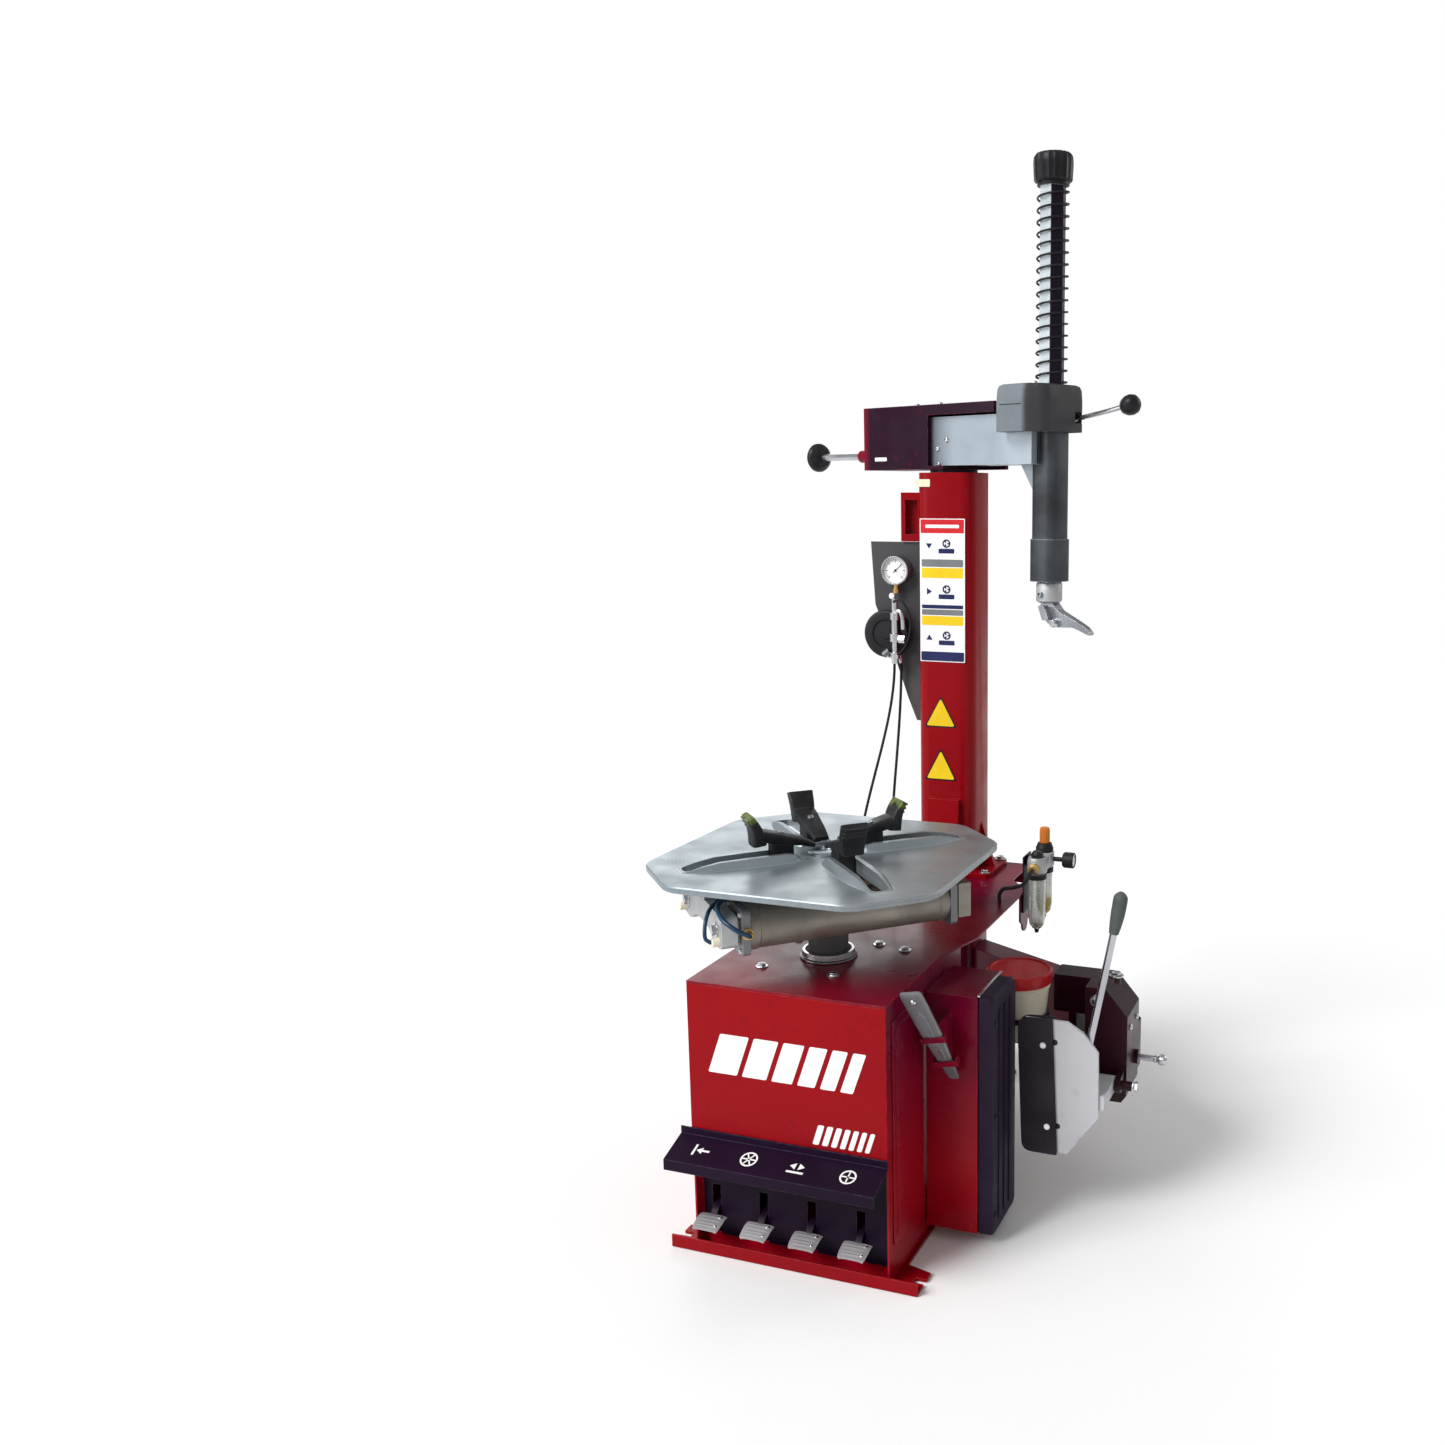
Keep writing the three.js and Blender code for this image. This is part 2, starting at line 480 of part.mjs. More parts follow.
// ---------- bead breaker ----------
function addBeadBreaker() {
  const { y, z } = ROD_LINE;
  const bodyRight = 150;
  const tail = cut(join(block([TRUNNION_X, -148], [y - 16, y + 16], [274, 316]),
    bar([TRUNNION_X, y, 274], [TRUNNION_X, y, 316], 20, 24)),
    bar([TRUNNION_X, y, 270], [TRUNNION_X, y, 320], 9 + GAP, 16));
  const drum = cut(bar([-145, y, z], [bodyRight, y, z], 90, 40),
    bar([-137, y, z], [bodyRight - 12, y, z], 82, 36),
    bar([bodyRight - 20, y, z], [bodyRight + 5, y, z], 11.5, 20));
  add('breaker_cylinder', join(drum, tail, block([-148, -144], [y - 60, y + 60], [235, 355])),
    'darkSteel');

  const eye = cut(bar([ARM_EYE_X, y, 280], [ARM_EYE_X, y, 310], 25, 24),
    bar([ARM_EYE_X, y, 270], [ARM_EYE_X, y, 320], 17.5, 24));
  const rod = join(bar([-100, y, z], [ARM_EYE_X - 22, y, z], 11, 20),
    bar([-125, y, z], [-98, y, z], 81.5, 36));
  add('breaker_rod', join(rod, eye), 'steel');

  const support = slabZ([[COLUMN.x + 61 + GAP + 1, 585], [350, 446], [385, 434], [412, 448],
    [416, 480], [400, 495], [COLUMN.x + 61 + GAP + 1, 655]], 219, 341);
  const fork = block([340, 430], [425, 505], [229, 331]);
  const pin = bar([ARM_PIVOT.x, ARM_PIVOT.y, 225], [ARM_PIVOT.x, ARM_PIVOT.y, 338], 14, 24);
  add('bead_arm_bracket', join(cut(support, fork.translate([2, 0, 0])), pin), 'darkRed');

  const box = { x: [435, 518], y: [215, 320], z: [205, 430] };
  const wall = 8;
  const faceOutline = [[box.x[0], box.z[0]], [box.x[1] - 10, box.z[0]],
    [box.x[1], box.z[0] + 14], [box.x[1], box.z[1] - 52], [box.x[1] - 44, box.z[1]],
    [box.x[0], box.z[1]]];
  const shell = cut(slabY(faceOutline, ...box.y),
    slabY([[box.x[0] - 5, box.z[0] + wall], [box.x[1] - 18, box.z[0] + wall],
      [box.x[1] - wall, box.z[0] + 22], [box.x[1] - wall, box.z[1] - 56],
      [box.x[1] - 48, box.z[1] - wall], [box.x[0] - 5, box.z[1] - wall]],
    box.y[0] + wall, box.y[1] - wall),
    block([box.x[0] - 5, box.x[1] - wall], [box.y[1] - 20, box.y[1] + 10], [272, 318]));
  const crossBeam = cut(block([360, box.x[0] + 4], [262, box.y[1]], [355, box.z[1]]),
    block([340, box.x[0] + 10], [272, box.y[1] + 5], [363, box.z[1] - wall]));
  const pinThrough = bar([ARM_EYE_X, y, box.z[0] + 4], [ARM_EYE_X, y, box.z[1] - 4], 9, 16);
  const limb = slabZ([[472, 312], [518, 312], [518, 345], [408, 486], [364, 444]], 232, 328);
  const hub = bar([ARM_PIVOT.x, ARM_PIVOT.y, 230], [ARM_PIVOT.x, ARM_PIVOT.y, 330], 32, 28);
  const hubBore = bar([ARM_PIVOT.x, ARM_PIVOT.y, 225], [ARM_PIVOT.x, ARM_PIVOT.y, 335],
    14 + GAP, 24);
  const shaftZ = 254;
  const lug = (x0, x1) => slabX([[box.y[0] + 2, shaftZ - 20], [box.y[0] + 2, shaftZ + 20],
    ...arc(188, shaftZ, 15, 90, 270, 8)], x0, x1);
  const tiltShaft = bar([424, 188, shaftZ], [546, 188, shaftZ], 9, 16);
  const stopBoss = bar([516, y, 270], [526, y, 270], 14, 20);
  const stopBore = bar([500, y, 270], [540, y, 270], 6.5, 16);
  const eyeRoom = block([425, box.x[1] - wall], [290, 332], [272, 318]);
  const arm = cut(join(shell, crossBeam, cut(limb, eyeRoom), hub, lug(436, 446), lug(504, 514),
    tiltShaft, pinThrough, stopBoss), hubBore, stopBore);
  add('bead_arm', arm, 'darkRed');

  add('arm_stop_pin', join(bar([511, y, 270], [566, y, 270], 6, 16), ball([572, y, 270], 11)),
    'chrome');

  const plate = slabY([[351, 145], [434, 145], [492, 226], [490, 352], [462, 386], [432, 404],
    [351, 404]], BLADE_Y - 3, BLADE_Y + 3);
  const stem = cut(join(block([448.5, 501.5], [BLADE_Y + 2, 190], [shaftZ - 14, shaftZ + 14]),
    bar([448.5, 188, shaftZ], [501.5, 188, shaftZ], 16, 24)),
    bar([440, 188, shaftZ], [510, 188, shaftZ], 9 + GAP, 16));
  const socket = block([452, 474], [BLADE_Y + 2, BLADE_Y + 24], [300, 362]);
  const handleBore = bar([461, 112, 318], [470, 112, 365], 7 + GAP, 16);
  add('bead_blade', cut(join(plate, stem, socket), handleBore), 'plateGrey');

  const wrap = cut(slabY([...arc(364, 160, 18, 180, 270, 5), [415, 142], [404, 408],
    ...arc(353, 390, 16, 90, 180, 4)], BLADE_Y - 9, BLADE_Y + 9),
    block([350.5, 420], [BLADE_Y - 3 - GAP, BLADE_Y + 3 + GAP], [130, 420]));
  add('blade_cover', wrap, 'black');

  add('blade_handle', join(bar([461.5, 112, 320], [512, 112, 585], 7, 16),
    bar([511, 112, 580], [524, 112, 648], 10, 16, 13), ball([524, 112, 648], 13)), 'chrome');
}

// ---------- swing arm, drawn along +X from the column axis ----------
const swing = new THREE.Group();
swing.position.set(COLUMN.x, COLUMN.y, 0);
swing.rotation.z = THREE.MathUtils.degToRad(SWING_ANGLE);
machine.add(swing);

function addSwingArm() {
  const box = { x0: -216, x1: -14, half: 66, z0: COLUMN.top + GAP + 6, z1: 1542 };
  const wall = 8;
  const ends = { roof: 177, sole: 30, back: 100 }; // how far the open sides reach along the arm
  const sleeve = cut(block([box.x0, box.x1], [-box.half, box.half], [box.z0, box.z1]),
    block([box.x0 + wall, box.x1 + 5], [wall - box.half, box.half - wall],
      [box.z0 + wall, box.z1 - 22]));
  const roof = block([box.x1 - 2, ends.roof], [-box.half, box.half], [box.z1 - 22, box.z1]);
  const sole = block([box.x1 - 2, ends.sole], [-box.half, box.half], [box.z0, box.z0 + wall]);
  const backWall = block([box.x1 - 2, ends.back], [box.half - wall, box.half],
    [box.z0, box.z1 - 12]);
  const hinge = join(bar([0, 0, COLUMN.top - 30], [0, 0, box.z0 + 2], 25, 28),
    bar([0, 0, COLUMN.top + GAP], [0, 0, box.z0 + 2], 52, 28));
  const onScrew = (x) => [x, -40, 1438];
  const screwBoss = bar(onScrew(box.x0 - 36), onScrew(box.x0 + 4), 14, 20);
  const screwBore = bar(onScrew(box.x0 - 40), onScrew(box.x0 + 20), 8.5, 16);
  add('swing_arm', cut(join(sleeve, roof, sole, backWall, hinge, screwBoss), screwBore),
    'darkRed', swing);

  const beamZ = [box.z0 + wall + GAP, 1516];
  const beam = cut(block([-196, 268], [-54, 54], beamZ),
    block([-206, 200], [-48, 48], [beamZ[0] + 6, beamZ[1] - 6]));
  const tubeHalf = 31;
  const tube = slabZ(shifted(roundedBox(tubeHalf, tubeHalf, 18), SHAFT_REACH, 0), 1240, 1500);
  const foot = slabZ(shifted(roundedBox(tubeHalf + 3, tubeHalf + 3, 20), SHAFT_REACH, 0),
    1178, 1264);
  const gusset = slabY([[196, beamZ[0] + 3], [246, beamZ[0] + 3], [246, 1337]], -5, 5);
  const hexBore = bar([SHAFT_REACH, 0, 1100], [SHAFT_REACH, 0, 1600], HEX + 0.8, 6);
  add('horizontal_arm', cut(join(beam, tube, foot, gusset), hexBore), 'silver', swing);

  const coverTop = 1571;
  const cover = slabZ(shifted(roundedBox(56, 76, 12), 256, -14), 1478, coverTop);
  const coverRoom = block([190, SHAFT_REACH + 32], [-54 - GAP, 54 + GAP], [1470, 1516 + GAP]);
  const leverSlot = block([300, 320], [30, 60], [1496, 1518]);
  add('lock_cover', cut(cover, coverRoom, hexBore, leverSlot), 'castGrey', swing);

  const lever = join(bar([290, 45, 1503], [430, 45, 1526], 5, 12), ball([437, 45, 1527], 20.5));
  add('lock_lever', lever, 'chrome', swing);

  const spigot = bar([SHAFT_REACH, 0, 1162], [SHAFT_REACH, 0, 1178], 18, 24);
  const hex = bar([SHAFT_REACH, 0, 1176 + GAP], [SHAFT_REACH, 0, 1990], HEX, 6);
  const cap = join(bar([SHAFT_REACH, 0, 1950], [SHAFT_REACH, 0, 1968], 37, 28, 38),
    bar([SHAFT_REACH, 0, 1968], [SHAFT_REACH, 0, SHAFT_TOP], 40, 28, 36));
  add('hex_shaft', join(spigot, hex, cap), 'steel', swing);

  const spring = cut(bar([SHAFT_REACH, 0, coverTop + GAP], [SHAFT_REACH, 0, 1950 - GAP], 33, 24),
    bar([SHAFT_REACH, 0, 1560], [SHAFT_REACH, 0, 1960], HEX + 1.3, 24));
  add('shaft_spring', spring, 'darkSteel', swing);

  const collar = cut(bar([SHAFT_REACH, 0, 1134], [SHAFT_REACH, 0, 1176], 27, 24),
    bar([SHAFT_REACH, 0, 1162 - GAP], [SHAFT_REACH, 0, 1180], 18 + GAP, 24));
  const bill = slabY([[262, 1137], [290, 1137], [306, 1120], [352, 1101], [388, 1078],
    [384, 1072], [344, 1086], [300, 1084], [272, 1096], [254, 1120]], -13, 13);
  const wing = slabY([[262, 1130], [282, 1130], [296, 1102], [276, 1096]], -30, 30);
  add('mount_head', join(collar, bill, wing), 'chrome', swing);

  const screw = bar(onScrew(box.x0 + 10), onScrew(-380), 8, 16);
  const knob = join(bar(onScrew(-378), onScrew(-398), 14, 16, 33),
    bar(onScrew(-397), onScrew(-415), 33, 16));
  add('star_knob', join(screw, knob), 'black', swing);
}

addBase();
addCabinet();
addHoodAndPedals();
addWheelPad();
addDrive();
addTurntable();
addColumn();
addServiceUnit();
addBucket();
addBeadBreaker();
addSwingArm();

export default machine;
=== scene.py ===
import math

import bmesh
import bpy
from mathutils import Matrix, Vector


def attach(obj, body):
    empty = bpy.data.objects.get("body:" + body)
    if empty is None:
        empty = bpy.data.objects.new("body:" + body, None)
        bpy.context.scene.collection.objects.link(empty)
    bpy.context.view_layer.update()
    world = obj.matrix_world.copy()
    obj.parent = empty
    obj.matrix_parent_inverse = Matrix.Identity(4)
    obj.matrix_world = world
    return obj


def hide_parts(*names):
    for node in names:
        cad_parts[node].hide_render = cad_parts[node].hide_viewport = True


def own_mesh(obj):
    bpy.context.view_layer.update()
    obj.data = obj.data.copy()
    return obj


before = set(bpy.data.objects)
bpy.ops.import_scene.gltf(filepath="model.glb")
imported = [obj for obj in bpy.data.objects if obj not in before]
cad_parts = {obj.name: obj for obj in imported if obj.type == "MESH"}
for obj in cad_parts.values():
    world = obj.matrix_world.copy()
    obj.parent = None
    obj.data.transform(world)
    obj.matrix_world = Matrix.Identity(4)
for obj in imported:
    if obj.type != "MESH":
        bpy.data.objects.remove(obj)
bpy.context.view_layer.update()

MM = 0.001  # shapes below are drawn in millimetres, in the row frame
CLEAN, SHARP = math.radians(30), math.radians(32)  # corners to bevel, edges to shade sharp
SWING_PLACE, SWING_TURN = (22, 630), -24.3  # column axis, and the swing arm's heading in degrees
RIGHT, LEFT, FRONT, UP = (1, 0, 0), (-1, 0, 0), (0, -1, 0), (0, 0, 1)
SIDES = (-1, 1)

# ---------- camera, lights and floor ----------
scene = bpy.context.scene
scene.view_settings.view_transform = "Standard"


def aimed(obj, place, target):
    obj.location = place
    obj.rotation_euler = (Vector(target) - Vector(place)).to_track_quat("-Z", "Y").to_euler()
    scene.collection.objects.link(obj)


def studio():
    camera = bpy.data.objects.new("camera", bpy.data.cameras.new("camera"))
    camera.location = (1.0112, -2.1239, 1.360)
    camera.rotation_euler = (math.radians(80.1), 0, math.radians(19))
    camera.data.sensor_width = 36
    camera.data.lens = 32.97
    camera.data.shift_x = -0.1725
    camera.data.clip_end = 60
    scene.collection.objects.link(camera)
    scene.camera = camera
    sun = bpy.data.lights.new("sun", "SUN")
    sun.energy = 2.9
    sun.angle = math.radians(28)
    aimed(bpy.data.objects.new("sun", sun), (-1.9, -2.7, 3.9), (0.15, 0.2, 0.9))
    for name, place, size, power in (
        ("window", (-2.6, -1.6, 1.9), 1.8, 26),
        ("rim", (2.6, 2.6, 2.6), 1.6, 22),
        ("back", (-2.0, 3.4, 2.4), 2.0, 26),
    ):
        lamp = bpy.data.lights.new(name, "AREA")
        lamp.size = size
        lamp.energy = power
        aimed(bpy.data.objects.new(name, lamp), place, (0.15, 0.2, 0.9))
    world = scene.world or bpy.data.worlds.new("world")
    scene.world = world
    world.use_nodes = True
    sky = world.node_tree.nodes["Background"]
    sky.inputs["Color"].default_value = (1, 1, 1, 1)
    nodes, links = world.node_tree.nodes, world.node_tree.links
    level = nodes.new("ShaderNodeMapRange")  # white backdrop, dimmer as a light
    level.inputs["To Min"].default_value = 0.42
    level.inputs["To Max"].default_value = 1.0
    links.new(nodes.new("ShaderNodeLightPath").outputs["Is Camera Ray"], level.inputs["Value"])
    links.new(level.outputs["Result"], sky.inputs["Strength"])


studio()


# ---------- materials ----------
class Shader:
    """A Principled material whose patterns lie in the piece's own coordinates."""

    def __init__(self, name, rough=0.5, metallic=0.0, coat=0.0, gloss=0.5):
        self.material = bpy.data.materials.new(name)
        self.material.use_nodes = True
        self.tree = self.material.node_tree
        self.surface = self.tree.nodes["Principled BSDF"]
        self.surface.inputs["Roughness"].default_value = rough
        self.surface.inputs["Metallic"].default_value = metallic
        self.surface.inputs["Coat Weight"].default_value = coat
        self.surface.inputs["Coat Roughness"].default_value = 0.12
        self.surface.inputs["Specular IOR Level"].default_value = gloss
        self.coord = self.node("ShaderNodeTexCoord").outputs["Object"]

    def node(self, kind, **settings):
        made = self.tree.nodes.new(kind)
        for key, value in settings.items():
            setattr(made, key, value)
        return made

    def feed(self, socket, value):
        if isinstance(value, bpy.types.NodeSocket):
            self.tree.links.new(value, socket)
        elif isinstance(value, tuple) and len(value) == 3 and socket.type == "RGBA":
            socket.default_value = (*value, 1)
        else:
            socket.default_value = value

    def noise(self, scale, detail=3.0, stretch=None):
        texture = self.node("ShaderNodeTexNoise")
        texture.inputs["Scale"].default_value = scale
        texture.inputs["Detail"].default_value = detail
        place = self.coord
        if stretch:
            scaled = self.node("ShaderNodeVectorMath", operation="MULTIPLY")
            self.feed(scaled.inputs[0], place)
            scaled.inputs[1].default_value = stretch
            place = scaled.outputs[0]
        self.feed(texture.inputs["Vector"], place)
        return texture.outputs["Fac"]

    def spread(self, value, low, high, to_low=0.0, to_high=1.0):
        node = self.node("ShaderNodeMapRange")
        self.feed(node.inputs["Value"], value)
        for key, number in zip(("From Min", "From Max", "To Min", "To Max"),
                               (low, high, to_low, to_high)):
            node.inputs[key].default_value = number
        return node.outputs["Result"]

    def cloud(self, scale, detail, low, high, to_low=0.0, to_high=1.0):
        """Noise stretched to a range."""
        return self.spread(self.noise(scale, detail), low, high, to_low, to_high)

    def calc(self, operation, a, b):
        node = self.node("ShaderNodeMath", operation=operation)
        self.feed(node.inputs[0], a)
        self.feed(node.inputs[1], b)
        return node.outputs[0]

    def mix(self, factor, a, b):
        node = self.node("ShaderNodeMix", data_type="RGBA")
        self.feed(node.inputs["Factor"], factor)
        self.feed(node.inputs["A"], a)
        self.feed(node.inputs["B"], b)
        return node.outputs["Result"]

    def axis(self, name):
        node = self.node("ShaderNodeSeparateXYZ")
        self.feed(node.inputs[0], self.coord)
        return node.outputs[name]

    def swing(self, name):
        """Metres along (X) or across (Y) the swing arm from the column axis."""
        turn = math.radians(SWING_TURN + (90 if name == "Y" else 0))
        heading = Vector((math.cos(turn), math.sin(turn), 0))
        node = self.node("ShaderNodeVectorMath", operation="DOT_PRODUCT")
        self.feed(node.inputs[0], self.coord)
        node.inputs[1].default_value = heading
        start = heading.dot(Vector((*SWING_PLACE, 0))) * MM
        return self.calc("SUBTRACT", node.outputs["Value"], start)

    def edges(self, radius):
        """1 along outer edges and corners, 0 on open faces."""
        soft = self.node("ShaderNodeBevel", samples=4)
        soft.inputs["Radius"].default_value = radius
        dot = self.node("ShaderNodeVectorMath", operation="DOT_PRODUCT")
        self.feed(dot.inputs[0], soft.outputs[0])
        self.feed(dot.inputs[1], self.node("ShaderNodeNewGeometry").outputs["Normal"])
        return self.spread(dot.outputs["Value"], 0.995, 0.86)

    def worn(self, body, colour, share, radius=0.002):
        """The body with another colour along its edges: rubbed-through wear, and where that colour is
        lighter, painted highlight.
        """
        return self.mix(self.calc("MULTIPLY", self.edges(radius), share), body, colour)

    def bump(self, height, strength, distance):
        node = self.node("ShaderNodeBump")
        node.inputs["Strength"].default_value = strength
        node.inputs["Distance"].default_value = distance
        self.feed(node.inputs["Height"], height)
        self.feed(self.surface.inputs["Normal"], node.outputs["Normal"])

    def done(self, colour, rough=None):
        self.feed(self.surface.inputs["Base Color"], colour)
        if rough is not None:
            self.feed(self.surface.inputs["Roughness"], rough)
        return self.material


def with_painted_shade(s, body, fade):
    """The colour, changing to another one where fade's mask is 1: painted shade."""
    if fade is None:
        return body
    mask, other = fade
    return s.mix(mask(s), body, other)


def paint(name, colour, shade, worn, rough=0.3, coat=0.10, gloss=0.14, fade=None):
    """Sprayed paint: cloudy colour, orange peel, dust specks, and edges in another colour: rubbed wear,
    and where it is lighter, painted highlight.
    """
    s = Shader(name, coat=coat, gloss=gloss)
    cloud = s.cloud(2.6, 4, 0.35, 0.68)
    body = with_painted_shade(s, s.mix(cloud, colour, shade), fade)
    scuff = s.cloud(38, 5, 0.62, 0.74, 0, 0.35)
    body = s.mix(scuff, body, tuple(0.72 * c for c in shade))
    # Edges: rubbed wear, and where the edge colour is lighter, painted highlight.
    edge_rub_and_highlight = s.calc("MULTIPLY", s.edges(0.0022), s.cloud(70, 4, 0.42, 0.62, 0, 0.8))
    s.bump(s.noise(520, 2), 0.10, 0.0006)
    return s.done(s.mix(edge_rub_and_highlight, body, worn),
                  s.cloud(16, 4, 0.3, 0.75, rough - 0.06, rough + 0.12))


def metal(name, colour, shade, rough=0.35, metallic=0.9, stretch=(6, 6, 300), fade=None):
    """Rolled or turned metal: fine drawn streaks, patches and brighter edges."""
    s = Shader(name, metallic=metallic)
    streak = s.noise(1.0, 5, stretch)
    body = s.mix(s.cloud(7, 4, 0.35, 0.68), colour, shade)
    body = s.mix(s.spread(streak, 0.45, 0.75, 0, 0.35), body, tuple(0.6 * c for c in colour))
    body = with_painted_shade(s, body, fade)
    bright = tuple(min(1, 1.5 * c + 0.05) for c in colour)
    body = s.worn(body, bright, 0.5)
    s.bump(streak, 0.08, 0.0008)
    return s.done(body, s.cloud(24, 4, 0.3, 0.7, rough - 0.08, rough + 0.14))


def cast(name, colour, shade, rough=0.6, grain=260, metallic=0.3, bump=0.35):
    """Sand-cast or powder-coated surface with a pebbled grain."""
    s = Shader(name, metallic=metallic)
    body = s.mix(s.cloud(9, 5, 0.35, 0.7), colour, shade)
    body = s.worn(body, tuple(min(1, 1.8 * c + 0.03) for c in colour), 0.4)
    s.bump(s.noise(grain, 3), bump, 0.0009)
    return s.done(body, s.cloud(30, 3, 0.3, 0.7, rough - 0.1, rough + 0.12))


def plastic(name, colour, shade, rough=0.42, grain=900, coat=0.0, bump=0.12, fade=None):
    """Moulded plastic or rubber: fine spark-eroded grain and handling marks."""
    s = Shader(name, coat=coat, gloss=0.2)
    body = with_painted_shade(s, s.mix(s.cloud(12, 4, 0.38, 0.68), colour, shade), fade)
    marks = s.spread(s.noise(1.0, 4, (60, 60, 9)), 0.6, 0.75, 0, 0.22)
    body = s.mix(marks, body, tuple(min(1, 1.35 * c + 0.012) for c in colour))
    s.bump(s.noise(grain, 2), bump, 0.0004)
    return s.done(body, s.cloud(20, 3, 0.3, 0.7, rough - 0.06, rough + 0.12))


def table_metal():
    """Blue-grey ground plate that browns slightly towards +X, with circular wear."""
    s = Shader("table_steel_plate", metallic=0.55)
    cool, warm = (0.235, 0.285, 0.315), (0.225, 0.215, 0.20)
    body = s.mix(s.spread(s.axis("X"), -0.05, 0.32, 0, 0.6), cool, warm)
    body = s.mix(s.cloud(6, 5, 0.4, 0.7, 0, 0.55), body, (0.33, 0.38, 0.40))
    rings = s.node("ShaderNodeTexWave", wave_type="RINGS", rings_direction="Z")
    rings.inputs["Scale"].default_value = 45
    rings.inputs["Distortion"].default_value = 3
    rings.inputs["Detail"].default_value = 3
    s.feed(rings.inputs["Vector"], s.coord)
    body = s.mix(s.spread(rings.outputs["Fac"], 0.55, 0.95, 0, 0.14), body, (0.12, 0.15, 0.17))
    body = s.worn(body, (0.62, 0.68, 0.70), 0.6, 0.003)
    s.bump(s.noise(120, 4), 0.10, 0.0006)
    return s.done(body, s.cloud(15, 4, 0.3, 0.7, 0.28, 0.5))


def beam_metal():
    """Silver beam with a reddish-dark painted shade by the sleeve; its guide tube is charcoal."""
    s = Shader("beam_steel_two_tone", rough=0.4, metallic=0.45)
    reach = s.swing("X")
    side = s.calc("ABSOLUTE", s.swing("Y"), 0)
    # Painted shade: dark grey inside the sleeve and just out of it, silver from 5 cm out.
    silver = s.mix(s.spread(reach, -0.02, 0.05), (0.085, 0.085, 0.10), (0.33, 0.385, 0.43))
    cloud = s.calc("MULTIPLY", s.cloud(9, 5, 0.38, 0.7, 0, 0.5), s.spread(reach, 0, 0.1))
    silver = s.mix(cloud, silver, (0.22, 0.26, 0.30))
    tube_part = s.calc("MULTIPLY", s.spread(reach, 0.2405, 0.2425),
                       s.calc("MULTIPLY", s.spread(s.axis("Z"), 1.480, 1.478),
                              s.spread(side, 0.037, 0.036)))
    dark = s.mix(s.cloud(11, 5, 0.4, 0.65), (0.022, 0.025, 0.030), (0.055, 0.065, 0.072))
    body = s.mix(tube_part, silver, dark)
    body = s.worn(body, (0.55, 0.60, 0.64), 0.4, 0.003)
    s.bump(s.noise(1.0, 5, (30, 30, 260)), 0.07, 0.0007)
    return s.done(body, s.cloud(18, 4, 0.3, 0.7, 0.3, 0.48))


def jaw_metal(name, tipped):
    """Black jaw; a tipped one is worn to olive at the top of its claw."""
    s = Shader(name, metallic=0.25, gloss=0.25)
    body = s.mix(s.cloud(20, 4, 0.4, 0.7), (0.010, 0.011, 0.012), (0.03, 0.03, 0.032))
    if tipped:
        tip = s.calc("MULTIPLY", s.spread(s.axis("Z"), 0.781, 0.790),
                     s.cloud(55, 3, 0.4, 0.55))
        body = s.mix(tip, body, (0.13, 0.17, 0.035))
    body = s.worn(body, (0.16, 0.16, 0.17), 0.4)
    s.bump(s.noise(240, 3), 0.25, 0.0008)
    return s.done(body, s.cloud(30, 3, 0.3, 0.7, 0.34, 0.55))


def bowl_plastic(name, tint, residue, level):
    """Clear bowl with a tinted residue below the given height in metres."""
    s = Shader(name, rough=0.12)
    s.surface.inputs["Transmission Weight"].default_value = 0.75
    s.surface.inputs["IOR"].default_value = 1.45
    fill = s.spread(s.axis("Z"), level + 0.004, level - 0.004)
    s.bump(s.noise(90, 2), 0.08, 0.0005)
    return s.done(s.mix(fill, s.mix(s.noise(30, 3), tint, (0.72, 0.74, 0.70)), residue))


def floor_finish():
    """White floor that glows as bright as the backdrop away from the machine."""
    s = Shader("studio_floor", rough=0.75, gloss=0.1)
    s.bump(s.noise(40, 2), 0.02, 0.001)
    reach = s.node("ShaderNodeVectorMath", operation="LENGTH")
    s.feed(reach.inputs[0], s.coord)
    far = s.spread(reach.outputs["Value"], 0.9, 2.6)
    s.surface.inputs["Emission Color"].default_value = (1, 1, 1, 1)
    s.feed(s.surface.inputs["Emission Strength"], far)
    white = s.mix(s.noise(1.4, 3), (0.86, 0.86, 0.86), (0.90, 0.90, 0.90))
    return s.done(s.mix(far, white, (0, 0, 0)))


RED = paint("red_paint_gloss", (0.27, 0.001, 0.004), (0.215, 0.001, 0.005), (0.45, 0.05, 0.04),
            coat=0.03, gloss=0.10)
# Cabinet: red low down, darker and more purple towards the top under the table; the darkening is partly
# the paint's own colour, partly painted shade.
CABINET = paint("cabinet_paint_shaded", (0.34, 0.001, 0.008), (0.26, 0.001, 0.010),
                (0.42, 0.03, 0.04), coat=0.05,
                fade=(lambda s: s.spread(s.axis("Z"), 0.16, 0.50), (0.12, 0.001, 0.020)))
MAROON = paint("dark_red_paint_gloss", (0.19, 0.001, 0.012), (0.10, 0.001, 0.022),
               (0.42, 0.04, 0.05))
# Sleeve: near black except at its rear end; the dark is partly the paint's own colour, partly painted
# shade.
SLEEVE = paint("sleeve_paint", (0.20, 0.001, 0.014), (0.14, 0.001, 0.012), (0.45, 0.02, 0.05),
               coat=0.04, fade=(lambda s: s.spread(s.swing("X"), -0.213, -0.196),
                                (0.016, 0.001, 0.012)))
ARM_PAINT = paint("arm_paint_dark", (0.022, 0.003, 0.008), (0.012, 0.006, 0.006),
                  (0.12, 0.05, 0.03), 0.34)
BLACK_PAINT = paint("black_paint_satin", (0.012, 0.003, 0.016), (0.007, 0.002, 0.011),
                    (0.10, 0.07, 0.11), rough=0.42, coat=0.02, gloss=0.10)
PANEL_GREY = paint("panel_grey_paint", (0.078, 0.076, 0.080), (0.058, 0.057, 0.062),
                   (0.20, 0.20, 0.20), rough=0.42, coat=0.02)
